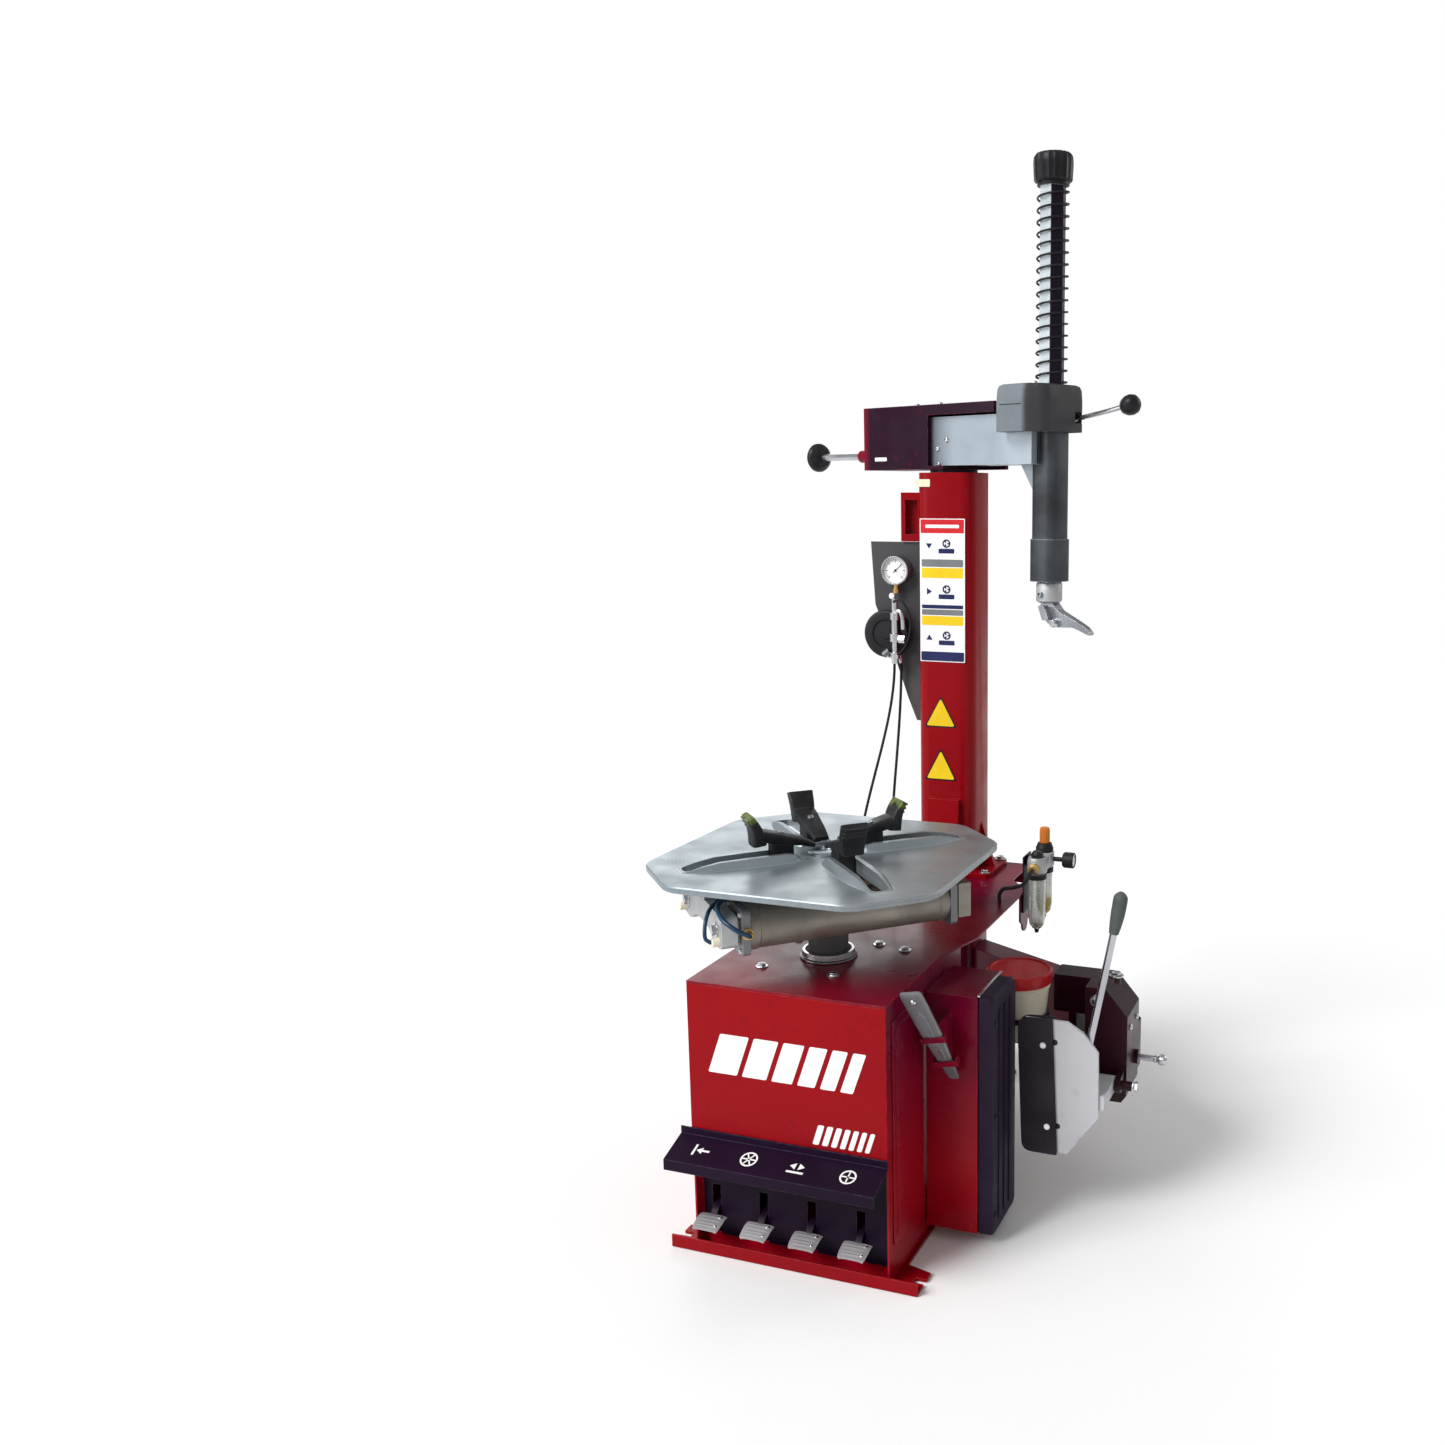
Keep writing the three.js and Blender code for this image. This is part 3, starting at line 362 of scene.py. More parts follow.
MOTOR = paint("motor_paint", (0.055, 0.075, 0.095), (0.040, 0.055, 0.07), (0.3, 0.3, 0.3), 0.45, 0.1)
BLADE_PAINT = paint("blade_grey_paint", (0.52, 0.52, 0.55), (0.44, 0.43, 0.46),
                    (0.16, 0.15, 0.15), 0.4, 0.2)
TABLE = table_metal()
BEAM = beam_metal()
BRIGHT = metal("bright_steel_polish", (0.62, 0.63, 0.65), (0.46, 0.47, 0.50), 0.22, 1.0,
               (90, 90, 20))
MACHINED = metal("machined_steel_oiled", (0.33, 0.38, 0.41), (0.20, 0.23, 0.26), 0.3, 0.85)
LEVER_STEEL = metal("lever_steel", (0.23, 0.23, 0.24), (0.13, 0.13, 0.14), 0.42, 0.55, (70, 70, 8))
BARREL = metal("cylinder_metal_brown", (0.30, 0.275, 0.235), (0.17, 0.15, 0.13), 0.42, 0.6,
               (40, 40, 160))
DRUM = metal("breaker_drum_metal", (0.16, 0.16, 0.17), (0.10, 0.10, 0.11), 0.4, 0.6, (8, 200, 200))
BRASS = metal("brass_fitting", (0.60, 0.42, 0.16), (0.42, 0.28, 0.10), 0.3, 1.0, (90, 90, 90))
IRON = cast("cast_iron_grey", (0.13, 0.13, 0.135), (0.085, 0.085, 0.09))
ALLOY = cast("alloy_die_cast", (0.48, 0.49, 0.50), (0.36, 0.37, 0.38), 0.45, 320, 0.6, 0.2)
PEDAL_PAD = cast("pedal_cast", (0.30, 0.29, 0.30), (0.21, 0.20, 0.21), 0.66, 200, 0.12)
HEAD = cast("mount_head_cast", (0.40, 0.42, 0.45), (0.22, 0.23, 0.25), 0.34, 180, 0.8, 0.2)
JAW = jaw_metal("jaw_black", False)
JAW_TIPPED = jaw_metal("jaw_black_worn", True)
RUBBER = plastic("rubber_black", (0.012, 0.010, 0.013), (0.024, 0.020, 0.028), 0.62, 500, 0, 0.25)
PAD_RUBBER = plastic("wheel_pad_rubber", (0.018, 0.008, 0.026), (0.010, 0.005, 0.016), 0.58, 500, 0,
                     0.25)
BLACK = plastic("black_plastic_grain", (0.010, 0.010, 0.012), (0.020, 0.019, 0.023), 0.4)
# Lock cover: dark on its outer end, painted shade.
GREY = plastic("grey_plastic_grain", (0.17, 0.19, 0.215), (0.14, 0.16, 0.18), 0.5,
               fade=(lambda s: s.spread(s.swing("X"), 0.270, 0.280), (0.040, 0.038, 0.042)))
# Hexagon bar: near black on every face but the front one, painted shade and reflection.
HEX_STEEL = metal("hex_bar_steel", (0.52, 0.57, 0.60), (0.42, 0.47, 0.50), 0.36, 0.6,
                  fade=(lambda s: s.spread(s.swing("Y"), -0.0230, -0.0222), (0.010, 0.004, 0.014)))
GRIP = plastic("grip_grey_green", (0.085, 0.10, 0.095), (0.055, 0.065, 0.06), 0.55)
CREAM = plastic("cream_plastic_grain", (0.84, 0.78, 0.62), (0.76, 0.69, 0.52), 0.4, 700, 0.1)
LID = plastic("lid_plastic_red", (0.55, 0.015, 0.018), (0.42, 0.010, 0.014), 0.38, 700, 0.15)
ORANGE = plastic("orange_plastic_grain", (0.62, 0.20, 0.030), (0.50, 0.14, 0.02), 0.4)
WHITE, YELLOW, NAVY, PRINT_RED, PRINT_GREY = (
    plastic(f"{name}_print", colour, shade, rough, 600) for name, colour, shade, rough in (
        ("white", (0.86, 0.86, 0.86), (0.78, 0.77, 0.77), 0.45),
        ("yellow", (0.83, 0.58, 0.015), (0.74, 0.48, 0.012), 0.4),
        ("navy", (0.012, 0.018, 0.075), (0.02, 0.025, 0.10), 0.4),
        ("red", (0.60, 0.02, 0.03), (0.50, 0.015, 0.025), 0.4),
        ("grey", (0.19, 0.20, 0.21), (0.14, 0.15, 0.16), 0.4)))
BLUE_HOSE = plastic("blue_hose", (0.012, 0.05, 0.10), (0.01, 0.03, 0.07), 0.35, 600, 0.2)
BOWL_WATER = bowl_plastic("filter_bowl_clear", (0.86, 0.88, 0.86), (0.50, 0.50, 0.44), 0.462)
BOWL_OIL = bowl_plastic("oil_bowl_clear", (0.86, 0.87, 0.82), (0.52, 0.42, 0.16), 0.500)


# ---------- shapes: (vertices, faces), in millimetres ----------
def merged(*shapes):
    verts, faces = [], []
    for shape_verts, shape_faces in shapes:
        base = len(verts)
        verts += shape_verts
        faces += [[i + base for i in face] for face in shape_faces]
    return verts, faces


def moved(shape, matrix):
    if not isinstance(matrix, Matrix):
        matrix = Matrix.Translation(matrix)
    return [tuple(matrix @ Vector(v)) for v in shape[0]], shape[1]


def facing(origin, direction):
    """Places a shape drawn along +Z at origin, looking along direction."""
    z = Vector(direction).normalized()
    x = Vector(UP).cross(z)
    x = x.normalized() if x.length > 1e-4 else Vector(RIGHT)
    turn = Matrix((x, z.cross(x), z)).transposed().to_4x4()
    return Matrix.Translation(origin) @ turn


def spin(degrees, axis="Z"):
    return Matrix.Rotation(math.radians(degrees), 4, axis)


SWING = Matrix.Translation((*SWING_PLACE, 0)) @ spin(SWING_TURN)  # swing arm, drawn along +X


def circle(radius, steps):
    angles = [math.tau * i / steps for i in range(steps)]
    return [(radius * math.cos(a), radius * math.sin(a)) for a in angles]


def fluted(even, odd, count):
    """Outline whose points alternate between two radii."""
    radii = [odd if i % 2 else even for i in range(count)]
    return [(x * r, y * r) for r, (x, y) in zip(radii, circle(1, count))]


def loft(rings):
    count = len(rings[0])
    verts = [tuple(p) for ring in rings for p in ring]
    faces = [[k * count + i, k * count + (i + 1) % count, (k + 1) * count + (i + 1) % count,
              (k + 1) * count + i] for k in range(len(rings) - 1) for i in range(count)]
    faces += [list(range(count))[::-1], list(range(len(verts) - count, len(verts)))]
    return verts, faces


def lathe(profile, steps=40):
    """Turns (radius, height) points about Z; a closed section may start and end on the axis."""
    verts, rings, faces = [], [], []
    for radius, height in profile:
        if radius < 1e-6:
            rings.append([len(verts)] * steps)
            verts.append((0, 0, height))
        else:
            rings.append(list(range(len(verts), len(verts) + steps)))
            verts += [(x, y, height) for x, y in circle(radius, steps)]
    for low, high in zip(rings, rings[1:]):
        for i in range(steps):
            j = (i + 1) % steps
            face = list(dict.fromkeys([low[i], low[j], high[j], high[i]]))
            if len(face) > 2:
                faces.append(face)
    return verts, faces


def ring_lathe(profile, steps=40):
    return lathe([*profile, profile[0]], steps)


def turned(profile, steps=40):
    """Solid of revolution; the ends of the profile are closed flat to the axis."""
    return lathe([(0, profile[0][1]), *profile, (0, profile[-1][1])], steps)


def level(outline, z, scale=1.0):
    return [(x * scale, y * scale, z) for x, y in outline]


def prism(outline, low, high):
    return loft([level(outline, low), level(outline, high)])


def block(x0, x1, y0, y1, z0, z1):
    return prism([(x0, y0), (x1, y0), (x1, y1), (x0, y1)], z0, z1)


def slab_x(outline, x0, x1):
    """Outline in (y, z), drawn out along X."""
    return loft([[(x, y, z) for y, z in outline] for x in (x0, x1)])


def slab_y(outline, y0, y1):
    """Outline in (x, z), drawn out along Y."""
    return loft([[(x, y, z) for x, z in outline] for y in (y0, y1)])


def rounded(corners, radius, steps=5):
    """Closed outline with rounded corners; a corner may carry its own radius."""
    result, count = [], len(corners)
    for i, corner in enumerate(corners):
        here = Vector(corner[:2])
        size = corner[2] if len(corner) > 2 else radius
        arms = [Vector(corners[j % count][:2]) - here for j in (i - 1, i + 1)]
        near, far = (here + a.normalized() * min(size, 0.48 * a.length) for a in arms)
        for k in range(steps + 1):
            t = k / steps
            p = near * (1 - t) ** 2 + here * 2 * t * (1 - t) + far * t * t
            result.append((p.x, p.y))
    return result


def rect(x0, x1, y0, y1, radius, steps=5):
    return rounded([(x0, y0), (x1, y0), (x1, y1), (x0, y1)], radius, steps)


def smooth(points, steps=8):
    """Curve through the points."""
    pts = [Vector(p) for p in points]
    ext = [2 * pts[0] - pts[1], *pts, 2 * pts[-1] - pts[-2]]
    line = []
    for a, b, c, d in zip(ext, ext[1:], ext[2:], ext[3:]):
        for k in range(steps):
            t = k / steps
            line.append(0.5 * ((2 * b) + (c - a) * t + (2 * a - 5 * b + 4 * c - d) * t * t
                               + (3 * b - a - 3 * c + d) * t ** 3))
    return [*line, pts[-1]]


def tube(path, radius, sides=14):
    """Round tube along a path; radius may be one number or one for each point."""
    path = [Vector(p) for p in path]
    sizes = radius if isinstance(radius, list) else [radius] * len(path)
    ahead = (path[1] - path[0]).normalized()
    side = ahead.orthogonal().normalized()
    rings = []
    for i, point in enumerate(path):
        step = (path[min(i + 1, len(path) - 1)] - path[max(i - 1, 0)]).normalized()
        side = (side - step * side.dot(step)).normalized()
        other = step.cross(side)
        rings.append([point + (side * math.cos(a) + other * math.sin(a)) * sizes[i]
                      for a in (2 * math.pi * k / sides for k in range(sides))])
    return loft(rings)


def sweep(path, widths, depths, side, power=2.6, count=20):
    """Bar with a soft rectangular section; side is the direction of its width."""
    path = [Vector(p) for p in path]
    side = Vector(side).normalized()
    rings = []
    for i, point in enumerate(path):
        step = (path[min(i + 1, len(path) - 1)] - path[max(i - 1, 0)]).normalized()
        up = step.cross(side).normalized()
        ring = []
        for k in range(count):
            a = 2 * math.pi * (k + 0.5) / count
            c, s = math.cos(a), math.sin(a)
            u = math.copysign(abs(c) ** (2 / power), c) * widths[i] / 2
            v = math.copysign(abs(s) ** (2 / power), s) * depths[i] / 2
            ring.append(point + side * u + up * v)
        rings.append(ring)
    return loft(rings)


def hex_bolt(radius, height=None):
    height = height or radius * 0.8
    washer = turned([(radius * 1.45, 0), (radius * 1.45, radius * 0.25)], 24)
    head = prism(circle(radius, 6), radius * 0.2, height)
    crown = lathe([(0, height - 0.2), (radius * 0.8, height - 0.2), (radius * 0.6, height + 0.5),
                   (0, height + 0.6)], 24)
    return merged(washer, head, crown)


def dome_screw(radius):
    return turned([(radius * r, radius * z) for r, z in
                   ((1, 0), (1, 0.25), (0.78, 0.6), (0.36, 0.76), (0.3, 0.45))], 20)


def socket_screw(radius):
    return turned([(radius * r, radius * z) for r, z in
                   ((1, 0), (1, 0.9), (0.9, 1), (0.55, 1), (0.5, 0.45))], 24)


def along(shape, direction, *places):
    """The shape repeated at each place, looking along direction."""
    return merged(*(moved(shape, facing(p, direction)) for p in places))


# ---------- pieces ----------
def raw_object(name, shape):
    mesh = bpy.data.meshes.new(name)
    mesh.from_pydata([[c * MM for c in v] for v in shape[0]], [], shape[1])
    work = bmesh.new()
    work.from_mesh(mesh)
    bmesh.ops.recalc_face_normals(work, faces=work.faces)
    work.to_mesh(mesh)
    work.free()
    obj = bpy.data.objects.new(name, mesh)
    scene.collection.objects.link(obj)
    return obj


def carved(shape, *cutters):
    """The shape with the cutters taken away."""
    body = raw_object("carving", shape)
    tools = [raw_object("cutter", cutter) for cutter in cutters]
    for tool in tools:
        step = body.modifiers.new("cut", "BOOLEAN")
        step.operation, step.solver, step.object = "DIFFERENCE", "EXACT", tool
    result = body.evaluated_get(bpy.context.evaluated_depsgraph_get()).to_mesh()
    verts = [tuple(c / MM for c in v.co) for v in result.vertices]
    faces = [list(p.vertices) for p in result.polygons]
    for obj in (body, *tools):
        mesh = obj.data
        bpy.data.objects.remove(obj)
        bpy.data.meshes.remove(mesh)
    return verts, faces


def soften(obj, width, segments=2):
    step = obj.modifiers.new("bevel", "BEVEL")
    step.width, step.segments = width * MM, segments
    step.limit_method, step.angle_limit = "ANGLE", CLEAN
    step.harden_normals = True


def placed(at, *parts):
    return [(moved(shape, at), finish) for shape, finish in parts]


def piece(name, body, slot, parts, bevel=0.8, segments=2, replaces=(), at=None):
    """One visible piece from (shape, material) parts, riding on a body and drawn from `at`."""
    if at:
        parts = placed(at, *parts)
    obj = raw_object(name, merged(*(part for part, _ in parts)))
    index = []
    for number, (part, finish) in enumerate(parts):
        obj.data.materials.append(finish)
        index += [number] * len(part[1])
    obj.data.polygons.foreach_set("material_index", index)
    obj.data.shade_smooth()
    obj.data.set_sharp_from_angle(angle=SHARP)
    if bevel:
        soften(obj, bevel, segments)
    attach(obj, body)
    if replaces:
        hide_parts(*replaces)
    return obj


def keep(finish, bevel, *nodes):
    """CAD nodes whose shape is right: clean shading, soft edges and a real finish."""
    for node in nodes:
        obj = bpy.data.objects[node]
        mesh = obj.data
        normals = mesh.attributes.get("custom_normal")
        if normals:
            mesh.attributes.remove(normals)
        mesh.polygons.foreach_set("use_smooth", [True] * len(mesh.polygons))
        weld = obj.modifiers.new("weld", "WELD")
        weld.merge_threshold = 1e-5
        flat = obj.modifiers.new("flat", "DECIMATE")
        flat.decimate_type = "DISSOLVE"
        flat.angle_limit = math.radians(1)
        soften(obj, bevel)
        for place in obj.material_slots:
            place.material = finish


FLOOR = 9000  # half a side
floor = raw_object("floor", block(-FLOOR, FLOOR, -FLOOR, FLOOR, -21, -1))
floor.data.materials.append(floor_finish())


# ---------- kept CAD nodes ----------
keep(RED, 0.9, "base_plate", "front_panel", "column")
keep(CABINET, 0.9, "cabinet_shell", "side_cover", "pad_bracket")
keep(MAROON, 0.9, "cabinet_top", "rear_support", "bead_arm_bracket")
keep(ARM_PAINT, 1.4, "bead_arm")
keep(SLEEVE, 3.6, "swing_arm")
keep(BLACK_PAINT, 0.9, "pedal_hood", "bucket_holder", "valve_rack")
keep(PANEL_GREY, 0.9, "gauge_panel")
keep(MOTOR, 1.2, "drive_motor")
keep(IRON, 1.4, "worm_gearbox", "turntable_spindle")
keep(MACHINED, 0.6, "motor_pulley", "gearbox_pulley", "pedal_shaft", "breaker_rod")
keep(RUBBER, 0.5, "drive_belt")
keep(BARREL, 1.0, "clamp_rods")
keep(DRUM, 1.6, "breaker_cylinder")
keep(BEAM, 1.6, "horizontal_arm")
keep(BLADE_PAINT, 1.0, "bead_blade")


# ---------- cabinet details ----------
PANEL_Y = -197.3


def stripes(x0, x1, z0, z1, count, gap, lean, fade):
    """Slanted bars of shrinking width, in place of lettering."""
    widths = [fade ** i for i in range(count)]
    scale = (x1 - x0 - lean - gap * (count - 1)) / sum(widths)
    bars, left = [], x0
    for width in widths:
        right = left + width * scale
        bars.append(slab_y(rounded([(left, z0), (right, z0), (right + lean, z1),
                                    (left + lean, z1)], 3), PANEL_Y - 0.5, PANEL_Y))
        left = right + gap
    return merged(*bars)


piece("panel_stripes", "root", "red_paint",
      [(merged(stripes(-144, 160, 351, 425, 6, 10, 26, 0.84),
               stripes(56, 175, 247, 284, 7, 6, 12, 0.95)), WHITE)], bevel=0)

HOOD_UP = Vector((0, -0.3236, 0.946)).normalized()


def hood_spot(x):
    """Icons lie flat on the sloping face, with their tops towards the machine."""
    across = Vector(RIGHT)
    turn = Matrix((across, HOOD_UP.cross(across), HOOD_UP)).transposed().to_4x4()
    return Matrix.Translation(Vector((x, -231.3, 216.5)) + HOOD_UP * 0.2) @ turn


def flat_bar(x0, y0, x1, y1, width):
    a, b = Vector((x0, y0)), Vector((x1, y1))
    side = (b - a).orthogonal().normalized() * width / 2
    return prism([tuple(a - side), tuple(a + side), tuple(b + side), tuple(b - side)], 0, 0.4)


def arrow(x, y, degrees):
    head = prism([(-5, -7), (6, 0), (-5, 7)], 0, 0.4)
    return moved(head, Matrix.Translation((x, y, 0)) @ spin(degrees))


def wheel(radius, spokes):
    rim = ring_lathe([(radius, 0), (radius, 0.4), (radius - 3, 0.4), (radius - 3, 0)], 36)
    spoke = flat_bar(2, 0, radius - 2, 0, 2.6)
    return merged(rim, *(moved(spoke, spin(360 / spokes * i)) for i in range(spokes)))


icons = [
    merged(flat_bar(-14, -12, -14, 12, 4), arrow(-4, 0, 180), flat_bar(0, 0, 15, 0, 4)),
    wheel(16, 6),
    merged(flat_bar(-16, -10, 16, -10, 4), arrow(-8, 3, 180), arrow(8, 3, 0)),
    wheel(15, 4),
]
piece("hood_icons", "root", "black_paint",
      [(merged(*(moved(icon, hood_spot(x)) for icon, x in zip(icons, (-143, -50, 42, 138)))),
        WHITE)], bevel=0)

bolt_spots = [(x, y, 515) for x, y in ((-89, -93), (52, -92), (-92, 62), (66, 84), (124, 70))]
chrome_ring = ring_lathe([(42.6, 516), (53, 516), (53, 519), (49, 521), (48, 530), (42.6, 530)], 56)
piece("cabinet_bolts", "root", "bright_steel", [(along(hex_bolt(8), UP, *bolt_spots), BRIGHT)], 0.5)
piece("hub_ring", "root", "bright_steel", [(chrome_ring, BRIGHT)], 0.6)
piece("side_screws", "root", "red_paint",
      [(along(dome_screw(4), RIGHT, *((198.9, -38, z) for z in (82, 275, 468))), MAROON)], 0.2)

# Black sheet behind the pedals, painted shade for the dark recess, with a slot for each lever.
PEDALS = {name: -150 + 95 * i for i, name in enumerate(("breaker", "clamp", "column", "rotate"))}
shade_sheet = carved(block(-176, 189, -173.9, -172.4, 26, 222),
               *(block(x - 8, x + 8, -180, -170, 20, 122) for x in PEDALS.values()))
piece("recess_liner", "root", "black_paint", [(shade_sheet, BLACK_PAINT)], 0.4)


# ---------- pedals ----------
def pedal_shape(x):
    lever = slab_x(rounded([(-48, 90), (-48, 126), (-20, 126), (-20, 134), (-76, 130), (-178, 80),
                            (-196, 62), (-196, 48), (-172, 52), (-74, 84)], 5, 3), x - 6, x + 6)
    boss = along(ring_lathe([(8.6, -14), (17, -14), (17, 14), (8.6, 14)], 32), RIGHT, (x, -60, 100))
    return merged(lever, boss)


def pedal_pad(x):
    path = smooth([(0, -186, 69.9), (0, -196, 69.4), (0, -207, 66.2), (0, -216, 63), (0, -222, 60.4)], 6)
    top, low = [], []
    for i, p in enumerate(path):
        ridge = 1.0 if i % 4 in (1, 2) and 3 < i < len(path) - 4 else 0
        reach = 27 - 3 * (i / len(path)) ** 3
        row_top, row_low = [], []
        for k in range(13):
            t = -1 + k / 6
            drop = 2 * abs(t) ** 5
            row_top.append((x + t * reach, p.y, p.z + (ridge if abs(t) < 0.8 else 0) - drop))
            row_low.append((x + t * (reach - 2), p.y, p.z - 3.4 - drop))
        top.append(row_top)
        low.append(row_low[::-1])
    return loft([a + b for a, b in zip(top, low)])


for name, at_x in PEDALS.items():
    heads = merged(along(dome_screw(4), (0, -0.2, 1), (at_x + 17, -194, 69)),
                   along(dome_screw(3), (0, -0.4, 1), (at_x + 17, -213, 63.6)))
    piece(f"pedal_{name}_body", f"pedal_{name}", "cast_iron",
          [(pedal_shape(at_x), BLACK_PAINT), (pedal_pad(at_x), PEDAL_PAD), (heads, BRIGHT)],
          bevel=0.5, replaces=[f"pedal_{name}"])


# ---------- wheel pad and tyre lever ----------
pad_side = rounded([(-20, 20, 14), (118, 20, 14), (118, 480, 34), (-20, 480, 14)], 12, 6)


def pad_ring(x, inset):
    return [(x, 49 + (y - 49) * (1 - inset / 69), 250 + (z - 250) * (1 - inset / 230))
            for y, z in pad_side]


pad = loft([pad_ring(298.4, 2), pad_ring(300, 0), pad_ring(321, 0), pad_ring(325, 1.5),
            pad_ring(327, 5)])
ribs = merged(*(slab_x(rect(y - 8, y + 8, 42, 448, 7), 326, 329.6) for y in (18, 49, 80)))
pad_screws = along(dome_screw(5), RIGHT, *((327, -6, z) for z in (60, 250, 430)))
piece("wheel_pad_moulding", "root", "rubber",
      [(merged(pad, ribs), PAD_RUBBER), (pad_screws, BLACK)], 1.2, replaces=["wheel_pad"])
piece("pad_trim", "root", "bright_steel",
      [(slab_x(rect(-20, 112, 478.4, 482, 1.4, 3), 297.2, 302), BRIGHT)], 0.3)

lean = Matrix.Translation((242.5, -98.5, 429.5)) @ spin(-11.1, "Y") @ spin(30, "X")
stations = [(-117, 15, 3), (-112, 19, 6), (-50, 30, 7), (0, 38, 7.6), (84, 41, 7.6), (110, 40, 7),
            (114.5, 38, 6), (117, 34, 4)]
bar_shape = sweep([(0, 0, s) for s, _, _ in stations], [w for _, w, _ in stations],
                  [d for _, _, d in stations], RIGHT, 5.5, 28)
fuller = slab_y([(-4, -75), (4, -75), (7, 58), (0, 70), (-7, 58)], -4.3, -3.4)
piece("tyre_lever_bar", "stored_lever", "bright_steel",
      [(bar_shape, LEVER_STEEL), (fuller, MACHINED),
       (along(dome_screw(5.5), FRONT, (0, -3.8, 97)), BRIGHT)], 0.3, replaces=["tyre_lever"], at=lean)


# ---------- turntable, jaws and clamp cylinders ----------
half, short = 277.5, 168.5
octagon = rounded([(half, -short), (half, short), (short, half), (-short, half), (-half, short),
                   (-half, -short), (-short, -half), (short, -half)], 26, 6)
plate = loft([level(octagon, z, scale)
              for z, scale in ((699, 0.994), (701.5, 1), (709, 1), (711, 0.994))])
corners = (45, 135, 225, 315)


def ridge():
    """Pressed ridge round a slot: full near the hub, fading towards the corner."""
    rings = []
    for r, base, crest, height in ((58, 30, 22, 4), (66, 35, 25, 11), (84, 38, 26, 14),
                                   (150, 39, 26, 14), (205, 36, 24, 13), (236, 30, 21, 8),
                                   (256, 24, 18.5, 3), (270, 20, 18, 0.6)):
        z = 710.6
        rings.append([(r, -base, z), (r, -(base + crest) / 2, z + height * 0.62),
                      (r, -crest, z + height * 0.97), (r, 0, z + height), (r, crest, z + height * 0.97),
                      (r, (base + crest) / 2, z + height * 0.62), (r, base, z), (r, 0, z - 3)])
    return loft(rings)


slot_cut = prism(rect(60, 265, -17, 17, 12), 690, 740)
plate = carved(plate, *(moved(slot_cut, spin(a)) for a in corners))
ridges = merged(*(moved(carved(ridge(), slot_cut), spin(a)) for a in corners))
centre = turned([(34, 710), (34, 714), (28, 717), (10, 717.5), (8, 715)], 40)
piece("turntable_deck", "turntable", "table_steel",
      [(plate, TABLE), (ridges, TABLE), (centre, MACHINED)], 0.9, replaces=["turntable_plate"])

jaw_path = smooth([(26, 0, 731), (52, 0, 740), (84, 0, 748), (112, 0, 755), (130, 0, 760)], 4)
jaw_bar = sweep(jaw_path, [28 + 16 * min(1, i / 12) for i in range(17)],
                [9 + 12 * min(1, i / 10) for i in range(17)], (0, 1, 0), 4, 24)
claw_path = smooth([(129, 0, 742), (131, 0, 758), (136, 0, 776), (146, 0, 795)], 4)
jaw_hook = sweep(claw_path, [40 + 10 * i / 12 for i in range(13)],
                 [26 - 14 * (i / 12) ** 1.5 for i in range(13)], (0, 1, 0), 5, 28)
jaw_foot = merged(block(62, 110, -30, 30, 686, 698.4), prism(rect(66, 106, -16.4, 16.4, 5), 697, 743))
teeth = merged(*(moved(block(-1, 2.2, -21, 21, -1.6, 1.6), (144 + 3.4 * i, 0, 776 + 7 * i))
                 for i in range(3)))
jaw_bolt = along(socket_screw(6), (-0.2, 0, 1), (86, 0, 755))
for name, angle in zip(("right_rear", "left_rear", "left_front", "right_front"), corners):
    finish = JAW_TIPPED if name in ("right_rear", "left_front") else JAW
    piece(f"jaw_{name}_claw", f"jaw_{name}", "jaw_black",
          [(merged(jaw_bar, jaw_hook, jaw_foot, teeth), finish), (jaw_bolt, MACHINED)],
          0.7, replaces=[f"jaw_{name}"], at=spin(angle))

CLAMP_Z, CLAMP_Y = 628, 95  # cylinders' height, and distance from the middle


def clamp_barrel(y):
    """Tube with its plug and gland, and its two square caps."""
    def lying(shape):
        return along(shape, RIGHT, (0, y, CLAMP_Z))

    barrel = [(41, -186), (42, -184), (42, -168), (40.5, -166), (40.5, 166), (42, 168), (42, 184),
              (41, 186), (36, 186), (36, -186)]
    gland = [(11, 180), (38, 180), (38, 186), (22, 200), (22, 203), (11, 203)]
    square = rounded([(y - 42, CLAMP_Z - 42), (y + 42, CLAMP_Z - 42), (y + 42, CLAMP_Z + 40),
                      (y - 42, CLAMP_Z + 40)], 12, 5)
    caps = merged(slab_x(square, -200, -186),
                  carved(slab_x(square, 186, 199), lying(turned([(12, 170), (12, 220)], 32))))
    return lying(merged(ring_lathe(barrel, 56), turned([(30, -199), (34, -196), (34, -180)], 40),
                        ring_lathe(gland, 40))), caps


def hose(points, radius):
    return tube(smooth(points), radius)


yoke = slab_x(rounded([(-129, 602, 10), (-129, 656, 10), (-70, 660, 20), (70, 660, 20),
                       (129, 656, 10), (129, 602, 10), (74, 596, 24), (48, 618, 30),
                       (-48, 618, 30), (-74, 596, 24)], 10, 5), -234, -206)
neck = merged(slab_x(rect(-20, 20, 657, 685.6, 4), -234, -66),
              *(slab_x(rect(y - 22, y + 22, CLAMP_Z - 22, CLAMP_Z + 22, 8), -207, -198)
                for y in (-CLAMP_Y, CLAMP_Y)),
              *(slab_y([(-206, 632), (-206, 668), (-150, 668)], y - 3, y + 3) for y in (-14, 14)))
tubes, caps = zip(*(clamp_barrel(side * CLAMP_Y) for side in SIDES))
cap_bolts = merged(
    along(socket_screw(5), LEFT, *((-199.6, side * CLAMP_Y + y, CLAMP_Z + z)
                                   for side in SIDES for y in (-33, 33) for z in (-33, 31))),
    along(hex_bolt(9, 9), LEFT, *((-234, side * CLAMP_Y, CLAMP_Z) for side in SIDES)))
elbow = turned([(10, 0), (10, 6), (7, 7), (7, 18), (5, 20)], 24)
elbows = merged(*(along(elbow, (0, side, 0), (-192, side * 136.5, CLAMP_Z)) for side in SIDES))
white_plugs = along(turned([(8, 0), (8, 12), (6, 14)], 24), LEFT,
                    *((-234, side * 112, 612) for side in SIDES))
quarter = spin(45)
